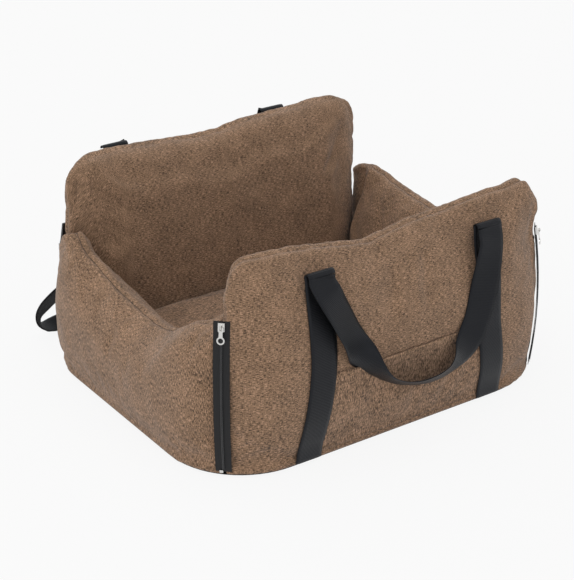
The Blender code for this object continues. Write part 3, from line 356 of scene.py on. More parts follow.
def nylonWebbing(name, follows=True):
    # black nylon webbing: fine ribs across and a soft gloss that turns blue-grey at the bends
    material, tree, shader = startMaterial(name, {"Roughness": 0.4, "Specular IOR Level": 0.3,
                                                  "Specular Tint": hexColour("#dfe3ee")})
    place = placeFor(tree, follows)
    # ribs are 1.2 mm apart in the real webbing and drawn 2.2 mm apart, so that they show
    ribs = addNode(tree, "TexWave", {"bands_direction": "Y" if follows else "Z"},
                   {"Vector": place, "Scale": waveScale(2.2)})
    threads = addNode(tree, "TexWave", {"bands_direction": "X"},
                      {"Vector": place, "Scale": waveScale(1.1)})
    mixed = addNode(tree, "Math", {"operation": "MULTIPLY_ADD"},
                    {0: threads.outputs["Fac"], 1: 0.4, 2: ribs.outputs["Fac"]})
    stretched = addNode(tree, "Mapping", None, {"Vector": place, "Scale": (700, 90, 100)})
    fuzz = addNode(tree, "TexNoise", None, {"Vector": stretched, "Detail": 2.0})
    colour = addNode(tree, "ValToRGB", None, {"Fac": fuzz}, stops=[(0.25, "#050506"), (0.75, "#0c0d10")])
    height = addNode(tree, "Bump", None, {"Height": mixed, "Strength": 0.55, "Distance": 0.4 * mm})
    setInputs(tree, shader, {"Base Color": colour, "Normal": height})
    return material


def platedMetal(name, colour, roughness):
    # nickel-plated zinc or steel: bright silver with faint polishing marks
    material, tree, shader = startMaterial(name, {"Metallic": 1.0, "Base Color": hexColour(colour)})
    marks = addNode(tree, "TexNoise", None,
                    {"Vector": placeFor(tree, False), "Scale": 900.0, "Detail": 3.0})
    rough = addNode(tree, "MapRange", None,
                    {"Value": marks, "To Min": roughness * 0.7, "To Max": roughness * 1.3})
    setInputs(tree, shader, {"Roughness": rough})
    return material


def ribbedBlack(name, shaderInputs, way, apart, stops, strength, deep):
    # black zip cloth or coil: bands at a real spacing in mm, with their colours and their depth in mm
    material, tree, shader = startMaterial(name, shaderInputs)
    bands = addNode(tree, "TexWave", {"bands_direction": way},
                    {"Vector": placeFor(tree, False), "Scale": waveScale(apart)}).outputs["Fac"]
    colour = addNode(tree, "ValToRGB", None, {"Fac": bands}, stops=stops)
    height = addNode(tree, "Bump", None, {"Height": bands, "Strength": strength, "Distance": deep * mm})
    setInputs(tree, shader, {"Base Color": colour, "Normal": height})
    return material


def gripCloth(name):
    # black non-slip underside cloth with rubber dots 8 mm apart
    material, tree, shader = startMaterial(name, {"Roughness": 0.85})
    spaced = addNode(tree, "Mapping", None, {"Vector": placeFor(tree, False), "Scale": (125, 125, 0)})
    dots = addNode(tree, "TexVoronoi", None, {"Vector": spaced, "Scale": 1.0, "Randomness": 0.0})
    shape = addNode(tree, "MapRange", None, {"Value": dots, "From Min": 0.2, "From Max": 0.26,
                                             "To Min": 1.0, "To Max": 0.0})
    colour = addNode(tree, "Mix", {"data_type": "RGBA"},
                     {0: shape, 6: hexColour("#1d1c1c"), 7: hexColour("#0b0b0c")})
    height = addNode(tree, "Bump", None, {"Height": shape, "Distance": 0.8 * mm})
    setInputs(tree, shader, {"Base Color": colour.outputs[2], "Normal": height})
    return material


def pressedBoard(name):
    # stiff grey fibre board of the base, faintly flecked
    material, tree, shader = startMaterial(name, {"Roughness": 0.8})
    flecks = addNode(tree, "TexNoise", None,
                     {"Vector": placeFor(tree, False), "Scale": 300.0, "Detail": 4.0})
    colour = addNode(tree, "ValToRGB", None, {"Fac": flecks}, stops=[(0.3, "#3a3937"), (0.7, "#4a4845")])
    setInputs(tree, shader, {"Base Color": colour})
    return material


cloth = heatherCloth("heatherPolyester", False)
clothTurned = heatherCloth("heatherPolyesterTurned", True)
clothFlat = heatherCloth("heatherPolyesterFlat", False, follows=False)
webbing = nylonWebbing("nylonWebbing")
webbingFlat = nylonWebbing("nylonWebbingFlat", follows=False)
brightMetal = platedMetal("nickelPlatedZinc", "#d2d1ce", 0.2)
ringMetal = platedMetal("nickelPlatedSteel", "#c8c7c4", 0.24)
# woven polyester tape: a fine herringbone that reads as faint lines along the zip
tapeCloth = ribbedBlack("polyesterZipTape", {"Roughness": 0.6, "Specular IOR Level": 0.35}, "X", 1.4,
                        [(0.2, "#09090a"), (0.9, "#141417")], 0.4, 0.3)
# nylon monofilament coil: its turns, 1.5 mm apart, catch small bright glints
coilThread = ribbedBlack("nylonZipCoil", {"Roughness": 0.32, "Specular IOR Level": 0.6}, "Z", 1.5,
                         [(0.2, "#08080a"), (0.9, "#1d1e22")], 1.0, 0.6)
grip = gripCloth("dottedGripCloth")
board = pressedBoard("pressedFibreBoard")
print("materials made")


# padded walls

bed = {
    "halfWidth": 300 * mm, "halfDepth": 250 * mm, "corner": 125 * mm, "thick": 90 * mm,
    "crown": 38 * mm, "bellyHeight": 100 * mm, "bellyRadius": 722 * mm, "innerBelly": 1500 * mm,
    "wallBase": 7.1 * mm, "skirt": 0.8 * mm,  # the cloth's sewn edge reaches down past the base
    "endRound": 45 * mm, "rearEnd": 250 * mm, "rearEndThick": 14 * mm, "endBack": 10 * mm,
    "rearLeft": 4 * mm,  # how far the rear wall is sewn in to the left of the middle
    # the front wall's right end has a tighter corner and bulges out above the zip
    "rightRound": 27 * mm, "bulge": 14 * mm, "bulgeFrom": 220 * mm, "bulgeOver": 42 * mm,
    "gap": 0.3 * mm,
}
arcX = bed["halfWidth"] - bed["corner"]
arcY = bed["halfDepth"] - bed["corner"]
innerX = bed["halfWidth"] - bed["thick"]
innerY = bed["halfDepth"] - bed["thick"]


def outlineOf(*pairs):
    return [(x * mm, z * mm) for x, z in pairs]


topLines = {
    "front": outlineOf((-236, 295), (-165, 294), (-110, 288), (-84, 283), (-50, 276), (-34, 275), (15, 284),
                       (90, 290), (165, 295), (236, 296)),
    "rear": outlineOf((-250, 302), (-220, 303), (-185, 303), (-95, 299), (-19, 295), (7, 296), (47, 300),
                      (132, 303), (207, 307), (250, 306)),
    "left": outlineOf((-187, 219), (-176, 210), (-165, 201), (-150, 197), (-125, 184), (-90, 161), (-55, 152),
                      (-20, 152), (15, 156), (50, 163), (87, 174), (125, 189), (142, 201), (158, 212),
                      (178, 218), (215, 216)),
    "right": outlineOf((-187, 218), (-165, 200), (-150, 190), (-125, 180), (-90, 175), (0, 174), (70, 175),
                       (87, 177), (125, 181), (158, 187), (182, 190), (215, 192)),
}


def cornerPoint(turn, way):
    # the bed's outline at a right corner, by degrees from straight ahead, way -1, or straight back, way 1
    turn = radians(turn)
    return Vector((arcX + bed["corner"] * sin(turn), way * (arcY + bed["corner"] * cos(turn)), 0))


def bellyAt(z, radius=None):
    return (z - bed["bellyHeight"]) ** 2 / (2 * (radius or bed["bellyRadius"]))


def endDrop(distance, reach=bed["endRound"]):
    return 0.0 if distance >= reach else reach - sqrt(reach ** 2 - (reach - distance) ** 2)


def wallSection(outer, inner, top, crown=None, leans=(0, 0), bulge=0.0):
    # a padded wall cut across: bellied faces, round crown, flat bottom and a sewn skirt outside;
    # the leans bring the tops of its outer and inner face towards each other
    across = inner - outer
    thickness = across.length
    across.normalize()
    slim = min(1.0, thickness / (0.6 * bed["thick"]))
    crown = min(crown or bed["crown"], 0.55 * (thickness - sum(leans)))
    shoulder = top - crown
    foot = min(1.0, thickness / (36 * mm))

    def leanAt(face, z):
        return leans[face] * max(0.0, (z - bed["bellyHeight"]) / (top - bed["bellyHeight"]))

    def nearFace(z):
        out = bulge * smoothStep((z - bed["bulgeFrom"]) / bed["bulgeOver"])
        return bellyAt(z) * slim + leanAt(0, z) - out

    def farFace(z):
        return thickness - bellyAt(z, bed["innerBelly"]) * slim - leanAt(1, z)

    def at(distance, z):
        point = outer + across * distance
        return Vector((point.x, point.y, z))

    low = 3 * mm
    levels = [low + (shoulder - low) * step / 24 for step in range(25)]
    points = [at(nearFace(z), z) for z in levels]
    near = nearFace(shoulder)
    far = farFace(shoulder)
    for step in range(1, 14):
        turn = pi * step / 14
        points.append(at((near + far) / 2 - (far - near) / 2 * cos(turn), shoulder + crown * sin(turn)))
    innerLow = bed["wallBase"] + 5 * mm
    for step in range(20):
        z = shoulder + (innerLow - shoulder) * step / 19
        points.append(at(farFace(z), z))
    points.append(at(thickness - 5 * mm * foot, bed["wallBase"] + 1 * mm))
    for share in (0.9, 0.7, 0.5, 0.3):
        points.append(at(13 * mm * foot + (thickness - 18 * mm * foot) * share, bed["wallBase"]))
    for inwards, z in ((12, bed["wallBase"]), (11, bed["wallBase"] - 2 * mm),
                       (10.5, bed["skirt"] + 0.6 * mm), (9, bed["skirt"]), (7.4, bed["skirt"] + 0.7 * mm)):
        points.append(at(inwards * mm * foot, z))
    return points


def frontStations():
    halves = []
    for side, reach, bulge in ((-1, bed["endRound"], 0.0), (1, bed["rightRound"], bed["bulge"])):
        half = []
        for step in range(17):
            turn = 45 - 45 * (step / 16) ** 0.85
            outer = cornerPoint(turn, -1)
            inner = Vector((arcX + (innerX - arcX) * turn / 45, -innerY, 0))
            if step == 0:
                outer -= Vector((bed["gap"], bed["gap"], 0))
                inner -= Vector((bed["gap"], bed["gap"], 0))
            drop = endDrop(bed["corner"] * radians(45 - turn) + 1 * mm, reach)
            half.append((outer, inner, drop, bulge * smoothStep(turn / 45)))
        for step in range(1, 22):
            x = arcX * (1 - step / 21)
            half.append((Vector((x, -bed["halfDepth"], 0)), Vector((x, -innerY, 0)), 0.0, 0.0))
        mirror = Vector((side, 1, 1))
        halves.append([(o * mirror, i * mirror, drop, out) for o, i, drop, out in half])
    full = halves[0] + list(reversed(halves[1][:-1]))
    return [wallSection(o, i, readOutline(topLines["front"], (o.x + i.x) / 2) - drop, bulge=out)
            for o, i, drop, out in full]


def rearStations():
    stations = []
    distances = [0, 1, 2.5, 4.5, 7, 10, 14, 19, 25, 31, 38, 46, 55, 65]
    distances += [65 + 185 * step / 22 for step in range(1, 23)]
    for distance in (d * mm for d in distances):
        x = bed["rearEnd"] - distance
        outerY = bed["halfDepth"]
        if x > arcX:
            outerY = arcY + sqrt(bed["corner"] ** 2 - (x - arcX) ** 2)
        pinch = endDrop(distance) / bed["endRound"]
        middle = (outerY + innerY) / 2 + bed["endBack"] * pinch
        half = bed["rearEndThick"] / 2
        spread = ((outerY - innerY) / 2 - half) * (1 - pinch) + half
        stations.append((x, middle + spread, middle - spread, endDrop(distance)))
    full = [(-x, o, i, drop) for x, o, i, drop in stations] + list(reversed(stations[:-1]))
    left = bed["rearLeft"]
    return [wallSection(Vector((x - left, o, 0)), Vector((x - left, i, 0)),
                        readOutline(topLines["rear"], x) - drop) for x, o, i, drop in full]


def sideStations(side, line):
    # round the front corner: degrees, how far the inner face has moved back, height of the crown
    turns = [(45, 0.0, 9), (46.5, 0.05, 11), (48, 0.1, 13), (51, 0.17, 17), (54, 0.24, 21), (59, 0.33, 26),
             (64, 0.42, 31), (70, 0.54, 35), (77, 0.68, 38), (83, 0.84, 38), (90, 1.0, 38)]
    stations = []
    for turn, share, crown in turns:
        outer = cornerPoint(turn, -1)
        inner = Vector((innerX, -innerY + (innerY - arcY) * share, 0))
        if turn == 45:
            outer += Vector((bed["gap"], bed["gap"], 0))
            inner += Vector((bed["gap"], bed["gap"], 0))
        stations.append((outer, inner, 0.0, crown * mm, (0, 0)))
    outerLean = outlineOf((50, 0), (87, 2), (125, 6))
    innerLean = outlineOf((-20, 0), (15, 2), (50, 8), (87, 20), (125, 32))
    for step in range(1, 30):
        y = -arcY + 2 * arcY * step / 29
        leans = (readOutline(outerLean, y), readOutline(innerLean, y))
        stations.append((Vector((bed["halfWidth"], y, 0)), Vector((innerX, y, 0)), 0.0, None, leans))
    # the inner face passes round the rear wall's end, and the wall thins out behind it; each row has
    # degrees, the inner point, the drops of the left and the right wall's top, and the two leans
    face = innerY - 2 * mm
    end = bed["rearEnd"] - side * bed["rearLeft"] + 2 * mm
    corners = [(4, innerX, arcY + 9 * mm, 0, 0, 7.5, 34), (8, innerX, (arcY + face) / 2, 0, 0, 9, 35),
               (12, innerX, face - 7 * mm, 0, 0, 9.5, 34), (15, innerX, face, 0, 0, 9, 32),
               (18, innerX + 0.22 * (end - innerX), face, 0, 0, 9, 23),
               (21, innerX + 0.45 * (end - innerX), face, 0, 0, 9, 15),
               (24, innerX + 0.75 * (end - innerX), face, 3, 0, 8.5, 7), (27, end, face, 8, 0, 8, 2),
               (30.5, end, face + 7 * mm, 17, 1, 6.5, 1), (34, end, face + 15 * mm, 28, 3, 5, 0),
               (37.5, end, face + 22 * mm, 36, 4, 4, 0), (41, end, face + 30 * mm, 44, 6, 3, 0),
               (43.5, end + 1 * mm, face + 37 * mm, 51, 11, 1, 0),
               (46, end + 2 * mm, face + 44 * mm, 58, 16, 0, 0)]
    for turn, x, y, leftDrop, rightDrop, outerLean, innerLean in corners:
        outer = cornerPoint(90 - turn, 1)
        drop = leftDrop if side < 0 else rightDrop
        stations.append((outer, Vector((x, y, 0)), drop * mm, None, (outerLean * mm, innerLean * mm)))
    mirror = Vector((side, 1, 1))
    return [wallSection(o * mirror, i * mirror, readOutline(topLines[line], (o.y + i.y) / 2) - drop,
                        crown, leans) for o, i, drop, crown, leans in stations]


def addLayers(data):
    for name in ("lay", "seam"):
        if name not in data.attributes:
            data.attributes.new(name, "FLOAT_VECTOR", "POINT")


def layCloth(piece, sections, crest=31):
    # place on the unrolled cloth for each vertex: along the bed's outline, then up and over the crown
    data = piece.data
    addLayers(data)
    search = searchOf([(section[crest].x, section[crest].y, 0) for section in sections])
    places = []
    for vert in data.vertices:
        x, y, z = vert.co
        awayX, awayY = abs(x) - arcX, abs(y) - arcY
        if awayX > 0 and awayY > 0:
            along = atan2(awayX, awayY) * bed["corner"]
            depth = bed["corner"] - hypot(awayX, awayY)
        elif awayY > awayX:
            along, depth = awayX, bed["halfDepth"] - abs(y)
        else:
            along, depth = bed["corner"] * pi / 2 - awayY, bed["halfWidth"] - abs(x)
        sign = (1 if x > 0 else -1)
        # the end faces at the front mitres, which the zips close, have their cloth running inwards
        facing = abs(vert.normal.x * sign + vert.normal.y) * sqrt(0.5)
        if y < 0 and abs(awayX - awayY) < 14 * mm and facing > 0.72:
            places += [sign * (along + depth), z, 0.0]
            continue
        section = sections[search.find((x, y, 0))[1]]
        across = section[60] - section[0]
        over = (vert.co - section[crest]).dot(Vector((across.x, across.y, 0)))
        up = z if over < 0 else 2 * section[crest].z - z
        places += [sign * along + (3 if y > 0 else 0), up + depth, 0.0]
    data.attributes["lay"].data.foreach_set("vector", places)


def swell(piece, held, pressure, cap, voxel=5 * mm, grow=0.0, settle=0.7):
    # the cover is remeshed, blown up by cloth pressure with its held parts pinned, and capped;
    # settle takes back that share of the mean swelling, so that the wall keeps its measured thickness
    remesh = piece.modifiers.new("voxels", "REMESH")
    remesh.mode = "VOXEL"
    remesh.voxel_size = voxel
    bakeModifiers(piece)
    rest = [v.co.copy() for v in piece.data.vertices]
    group = piece.vertex_groups.new(name="held")
    for vert in piece.data.vertices:
        weight = held(vert.co)
        if weight > 0:
            group.add([vert.index], weight, "REPLACE")
    soft = piece.modifiers.new("soft", "CLOTH")
    for key, value in {"use_pressure": True, "uniform_pressure_force": pressure, "quality": 5,
                       "vertex_group_mass": "held", "tension_stiffness": 20, "compression_stiffness": 20,
                       "shear_stiffness": 8, "bending_stiffness": 0.6, "shrink_min": -grow}.items():
        setattr(soft.settings, key, value)
    soft.settings.effector_weights.gravity = 0
    soft.collision_settings.use_collision = False
    soft.point_cache.frame_start = 1
    soft.point_cache.frame_end = 20
    for step in range(1, 21):
        scene.frame_set(step)
    bpy.context.view_layer.update()
    shaped = piece.evaluated_get(bpy.context.evaluated_depsgraph_get())
    moved = [v.co.copy() for v in shaped.data.vertices]
    piece.modifiers.remove(soft)
    piece.vertex_groups.clear()
    scene.frame_set(1)
    normals = [v.normal.copy() for v in piece.data.vertices]
    free = [(a - b).dot(n) for a, b, n in zip(moved, rest, normals) if held(b) < 0.05]
    swelling = sum(free) / len(free)
    back = settle * swelling
    print(piece.name, "swells by", round(swelling / mm, 1), "mm on average")
    for vert, before, after, normal in zip(piece.data.vertices, rest, moved, normals):
        way = after - before - normal * (back * (1 - held(before)))
        if way.length > cap:
            way = way.normalized() * cap
        vert.co = before + way


def bakeModifiers(piece):
    bpy.context.view_layer.update()
    shaped = piece.evaluated_get(bpy.context.evaluated_depsgraph_get())
    fresh = bpy.data.meshes.new_from_object(shaped)
    piece.modifiers.clear()
    old = piece.data
    piece.data = fresh
    bpy.data.meshes.remove(old)
    fresh.name = piece.name
    fresh.shade_smooth()


def refine(piece):
    finer = piece.modifiers.new("finer", "SUBSURF")
    finer.levels = 1
    finer.render_levels = 1
    bakeModifiers(piece)


def pressSeam(piece, path, depth, width, gather, pitch, strength=1.0):
    # a sewn seam: the cloth sinks along it, puffs up beside it and gathers a little; each vertex near it
    # is told how far across the seam it lies and how strong the seam is there, which sets the seam's painted
    # shade
    data = piece.data
    tree = surfaceOf(piece)
    marks = [tree.find_nearest(Vector(point))[0] for point in smoothRoute(path, 12)]
    runs = [0.0]
    for before, after in zip(marks, marks[1:]):
        runs.append(runs[-1] + (after - before).length)
    search = searchOf(marks)
    normals = [v.normal.copy() for v in data.vertices]
    values = [0.0] * (3 * len(data.vertices))
    for vert, normal in zip(data.vertices, normals):
        mark, index, _ = search.find(vert.co)
        way = (marks[min(index + 1, len(marks) - 1)] - marks[max(index - 1, 0)]).normalized()
        away = vert.co - mark
        ahead = away.dot(way)
        distance = (away - way * ahead).length
        if distance > 30 * mm:
            continue
        along = runs[index] + ahead
        fade = smoothStep(along / (15 * mm)) * smoothStep((runs[-1] - along) / (15 * mm))
        sink = -depth * exp(-(distance / width) ** 2)
        sink += 0.4 * depth * exp(-((distance - 2.4 * width) / (1.5 * width)) ** 2)
        wave = noise.noise(Vector((along / pitch, 3.7, 0.0))) + 0.5 * sin(2 * pi * along / pitch)
        sink += gather * wave * exp(-(distance / (10 * mm)) ** 2)
        vert.co += normal * sink * fade
        side = 1 if away.dot(normal.cross(way)) > 0 else -1
        values[3 * vert.index:3 * vert.index + 2] = side * distance, fade * strength
    data.attributes["seam"].data.foreach_set("vector", values)


def ripple(piece, size, amount, seed, weight=None):
    # slow unevenness of the wadding under the cloth
    normals = [v.normal.copy() for v in piece.data.vertices]
    for vert, normal in zip(piece.data.vertices, normals):
        push = noise.fractal(vert.co / size + Vector((seed, seed * 1.7, 0)), 1.0, 2.0, 3) * amount
        vert.co += normal * push * (weight(vert.co) if weight else 1.0)


def seamOf(sections, crownPoint, endPoints):
    # the sewn seam: up one end of the wall, along its crown and down the other end
    start = [sections[0][index] for index in endPoints]
    end = [sections[-1][index] for index in reversed(endPoints)]
    return start + [section[crownPoint] for section in sections[1:-1]] + end


def nearPath(path):
    # distance from a point to a path
    search = searchOf(smoothRoute([tuple(p) for p in path], 3))
    return lambda point: search.find(point)[2]


wallForm = {
    # cap of the swelling, fullness, seam depth, width, gathers and their pitch
    "cap": 6 * mm, "fill": 0.7, "seamDepth": 2.0 * mm, "seamWidth": 3.2 * mm, "gather": 0.6 * mm,
    "gatherPitch": 26 * mm, "ripple": 2.6 * mm, "rippleSize": 75 * mm,
    "pucker": 1.5 * mm, "puckerSize": 24 * mm, "puckerReach": 70 * mm,
}


def makeWall(side, sections, seam, material, body="bed", seamLine=0.9):
    name = side + "Wall"
    piece = sweep(name, sections)
    gap = nearPath(seam)

    def nearSeam(point):
        return smoothStep((20 * mm - gap(point)) / (14 * mm))

    def aboveFoot(point):
        return smoothStep((point.z - 15 * mm) / (40 * mm))

    def held(point):
        return max(smoothStep((16 * mm - point.z) / (8 * mm)), 0.9 * nearSeam(point))

    swell(piece, held, 4.0, wallForm["cap"], grow=0.015)
    refine(piece)
    ripple(piece, wallForm["rippleSize"], wallForm["ripple"], len(name),
           lambda p: aboveFoot(p) * (1 - 0.6 * nearSeam(p)))
    ripple(piece, wallForm["puckerSize"], wallForm["pucker"], len(name) + 3,
           lambda p: aboveFoot(p) * smoothStep(1 - gap(p) / wallForm["puckerReach"]))
    layCloth(piece, sections)
    pressSeam(piece, [tuple(p) for p in seam], wallForm["seamDepth"], wallForm["seamWidth"],
              wallForm["gather"], wallForm["gatherPitch"], seamLine)
    dress(piece, material, body, (side + "_wall_cover", side + "_wall_fill"))
    return piece


sections = frontStations()
frontWall = makeWall("front", sections, seamOf(sections, 30, range(18, 30)), cloth, "front_wall", 0.35)
sections = rearStations()
ridge = [tuple(section[28]) for section in sections[3:-3]]
# the rear wall's seam rises up the middle of each pinched end, from 110 to 240 mm
x, y, _ = sections[0][0].lerp(sections[0][42], 0.5)
levels = [(110 + 130 * step / 8) * mm for step in range(9)]
rising, falling = [(x, y, z) for z in levels], [(-x, y, z) for z in reversed(levels)]
rearWall = makeWall("rear", sections, rising + ridge + falling, cloth)
for side, line in ((-1, "left"), (1, "right")):
    sections = sideStations(side, line)
    makeWall(line, sections, seamOf(sections, 31, range(24, 31)), clothTurned)
print("walls made")


# seat cushion

seat = {"halfX": 207 * mm, "halfY": 157 * mm, "low": 7.4 * mm, "sideLow": 13 * mm, "sideHigh": 60 * mm,
        "corner": 42 * mm, "crown": 14 * mm, "drawIn": 4 * mm}


def roundOutline(halfX, halfY, corner, z, perCorner=8, perSide=8):
    # a rectangle with round corners, seen from above
    arcs = []
    for index, (signX, signY) in enumerate(((1, 1), (-1, 1), (-1, -1), (1, -1))):
        centre = Vector((signX * (halfX - corner), signY * (halfY - corner), z))
        angles = [radians(90 * index + 90 * step / perCorner) for step in range(perCorner + 1)]
        arcs.append([centre + Vector((cos(angle), sin(angle), 0)) * corner for angle in angles])
    points = []
    for arc, after in zip(arcs, arcs[1:] + arcs[:1]):
        points += arc + [arc[-1].lerp(after[0], step / (perSide + 1)) for step in range(1, perSide + 1)]
    return points


def makeCushion():
    rows = []
    for share, z in ((0.35, 0.0), (0.7, 0.0), (0.9, 0.0), (0.97, 1.2 * mm)):
        rows.append(roundOutline(seat["halfX"] * share, seat["halfY"] * share, seat["corner"] * share,
                                 seat["low"] + z))
    for step in range(9):
        share = step / 8
        draw = seat["drawIn"] * (1 - sin(pi * share) ** 0.7) * 0.8
        rows.append(roundOutline(seat["halfX"] - draw, seat["halfY"] - draw, seat["corner"],
                                 seat["sideLow"] + (seat["sideHigh"] - seat["sideLow"]) * share))
    for share, rise in ((0.965, 0.26), (0.93, 0.46), (0.86, 0.7), (0.76, 0.86), (0.62, 0.96), (0.42, 1.0),
                        (0.2, 1.0)):
        rows.append(roundOutline(seat["halfX"] * share, seat["halfY"] * share, seat["corner"] * share,
                                 seat["sideHigh"] + seat["crown"] * rise))
    piece = sweep("seatCushion", rows)
    swell(piece, lambda p: smoothStep((14 * mm - p.z) / (5 * mm)), 3.0, 4 * mm, grow=0.008)
    refine(piece)
    ripple(piece, 60 * mm, 2.0 * mm, 4, lambda p: smoothStep((p.z - 20 * mm) / (30 * mm)))
    data = piece.data
    addLayers(data)
    data.attributes["lay"].data.foreach_set("vector", [c for v in data.vertices for c in v.co])
    edge = roundOutline(seat["halfX"], seat["halfY"], seat["corner"], seat["sideHigh"], 3, 2)
    pressSeam(piece, [tuple(p) for p in edge], 2 * mm, 3 * mm, 0.4 * mm, 22 * mm)
    dress(piece, cloth, "seat_cushion", ("seat_cushion_cover", "seat_cushion_fill"))
    return piece


makeCushion()
print("seat cushion made")


# underside and fold seam

under = {"inset": 11.5 * mm, "low": 0.4 * mm}
fold = {"half": 165 * mm, "y": -239.6 * mm, "z": 3.9 * mm, "deep": 1.5 * mm, "high": 1.7 * mm}


def makeUnderside():
    # the walls' cloth is sewn to this sheet 11.5 mm in from the bed's outline, out of sight
    rows = []
    for inset, z in ((1.2, 0.0), (0.3, 0.25), (0.0, 0.75), (0.3, 1.25), (1.2, 1.5)):
        reach = under["inset"] + inset * mm
        rows.append(roundOutline(bed["halfWidth"] - reach, bed["halfDepth"] - reach, bed["corner"] - reach,
                                 under["low"] + z * mm, 16, 6))
    piece = sweep("underside", rows)
    return dress(piece, grip, "bed", ("base_underside",))


def makeFoldSeam():
    # corded seam that the front wall folds about, behind the wall's sewn edge
    places = [fold["half"] * (step / 30 - 1) for step in range(61)]
    ring = [(fold["y"] + cos(pi * k / 5) * fold["deep"], fold["z"] + sin(pi * k / 5) * fold["high"])
            for k in range(10)]
    sections = [[(x, y, z) for y, z in ring] for x in places]
    lays = [[(x, 0.002 * k, 0.0) for k in range(10)] for x in places]
    piece = sweep("foldSeam", sections, lays)
    addLayers(piece.data)
    return dress(piece, cloth, "bed", ("front_fold_seam",))


makeUnderside()
makeFoldSeam()
print("underside and fold seam made")


# webbing straps and carry handles

strap = {
    "width": 40 * mm, "thick": 1.6 * mm, "footX": 152 * mm, "topX": 136 * mm, "footZ": 6 * mm,
    "sewnZ": 150 * mm, "standOff": 5 * mm, "leanEnd": 0.6, "loop": 5 * mm,
    "lies": 2.3 * mm,  # middle of the webbing over the wall's cloth, with the pocket's cloth between
    "frontLoopZ": 266 * mm, "rearLoopZ": 288 * mm, "rearLeft": 16 * mm,
}


def ribbon(name, stations, width, thickness, columns=8, curl=0.0):
    # flat webbing: a thin ring of vertices carried along stations of (centre, direction across)
    sections, lays, run = [], [], 0.0
    stations = [(Vector(centre), Vector(across)) for centre, across in stations]
    for index, (centre, across) in enumerate(stations):
        before = stations[max(index - 1, 0)][0]
        after = stations[min(index + 1, len(stations) - 1)][0]
        along = (after - before).normalized()
        side = (across - along * across.dot(along)).normalized()
        face = along.cross(side).normalized()
        run += (centre - before).length
        ring, lay = [], []
        for way in (1, -1):
            for column in range(columns + 1):
                share = (2 * column / columns - 1) * way
                # the selvedge is a little thinner than the middle
                edge = 1 - 0.45 * abs(share) ** 10
                ring.append(centre + side * share * width / 2
                            + face * (way * edge * thickness / 2 + curl * (share * share - 0.33)))
                lay.append((share * width / 2, run, way * thickness))
        sections.append(ring)
        lays.append(lay)
    return sweep(name, sections, lays)


def faceY(z):
    return bed["halfDepth"] - bellyAt(z)


def strapDepth(z, loopZ):
    free = max(0.0, (z - strap["sewnZ"]) / (loopZ - strap["sewnZ"]))
    return faceY(z) + 1.7 * mm + strap["standOff"] * free + strap["thick"] / 2


def makeStrap(name, side, facing, loopZ, wall, replaced):
    # one length of webbing from the base seam up the wall and over its loop, to meet the handle
    tree = surfaceOf(wall)
    stations, depths = [], []
    for step in range(57):
        share = step / 56
        z = strap["footZ"] + (loopZ - strap["footZ"]) * share
        lean = strap["topX"] - strap["footX"]
        x = side * (strap["footX"] + lean * smoothStep(min(1.0, share / strap["leanEnd"]) * 0.999))
        x -= strap["rearLeft"] if facing > 0 else 0.0
        depth = strapDepth(z, loopZ)
        hits = [tree.ray_cast(Vector((x + away * mm, facing * 0.4, z)), Vector((0, -facing, 0)))[0]
                for away in (-18, -9, 0, 9, 18)]
        sewn = smoothStep((strap["sewnZ"] + 25 * mm - z) / (35 * mm))
        cling = max((abs(hit.y) for hit in hits if hit), default=depth) + strap["lies"]
        depths.append(max(depth + (cling - depth) * sewn, cling))
        stations.append((x, z))
    near = [depths[max(i - 3, 0):i + 4] for i in range(56)]
    even = [sum(some) / len(some) for some in near] + [strapDepth(loopZ, loopZ)]
    stations = [((x, facing * depth, z), (1, 0, 0)) for (x, z), depth in zip(stations, even)]
    x, y, z = stations[-1][0]
    for turn in (pi * step / 14 for step in range(1, 15)):
        stations.append(((x, y + facing * strap["loop"] * (1 - cos(turn)), z + strap["loop"] * sin(turn)),
                         (1, 0, 0)))
    piece = ribbon(name, stations, strap["width"], strap["thick"])
    dress(piece, webbing, None, replaced)
    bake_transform(piece)
    return piece


def loopEnd(facing, loopZ):
    return facing * (strapDepth(loopZ, loopZ) + 2 * strap["loop"])


# front handle: place along the wall, distance out, height, and the direction across the webbing
frontBight = (
    (-133.0, 10.2, 245.0, 0.950, 0.160, 0.270), (-122.5, 13.6, 223.0, 0.861, 0.292, 0.415),
    (-110.2, 13.5, 200.1, 0.825, 0.328, 0.461), (-98.1, 12.4, 178.0, 0.805, 0.330, 0.471),
    (-88.0, 13.2, 158.5, 0.830, 0.100, 0.480), (-79.0, 16.8, 141.5, 0.640, -0.520, 0.450),
    (-66.6, 20.0, 123.6, 0.300, -0.840, 0.435),
    (-52.2, 21.6, 109.2, 0.068, -0.918, 0.391), (-36.7, 22.3, 99.4, 0.042, -0.916, 0.399),
    (-20.3, 23.4, 91.9, 0.053, -0.890, 0.453), (-2.6, 24.0, 87.0, 0.080, -0.854, 0.514),
    (16.6, 23.7, 83.8, 0.082, -0.783, 0.616), (36.1, 22.9, 82.9, 0.000, -0.696, 0.718),
    (55.5, 21.5, 86.1, -0.176, -0.592, 0.787), (72.4, 18.6, 94.3, -0.450, -0.371, 0.812),
    (86.3, 15.8, 105.8, -0.716, 0.000, 0.698), (99.0, 14.1, 122.2, -0.818, 0.250, 0.517),
    (109.1, 12.2, 139.5, -0.898, 0.242, 0.368), (115.8, 11.2, 158.5, -0.931, 0.281, 0.233),
    (119.9, 10.9, 178.3, -0.933, 0.326, 0.154), (123.0, 11.2, 199.1, -0.944, 0.294, 0.152),
    (127.0, 10.8, 221.0, -0.973, 0.164, 0.163), (132.5, 7.6, 243.6, -0.980, 0.022, 0.190),
)


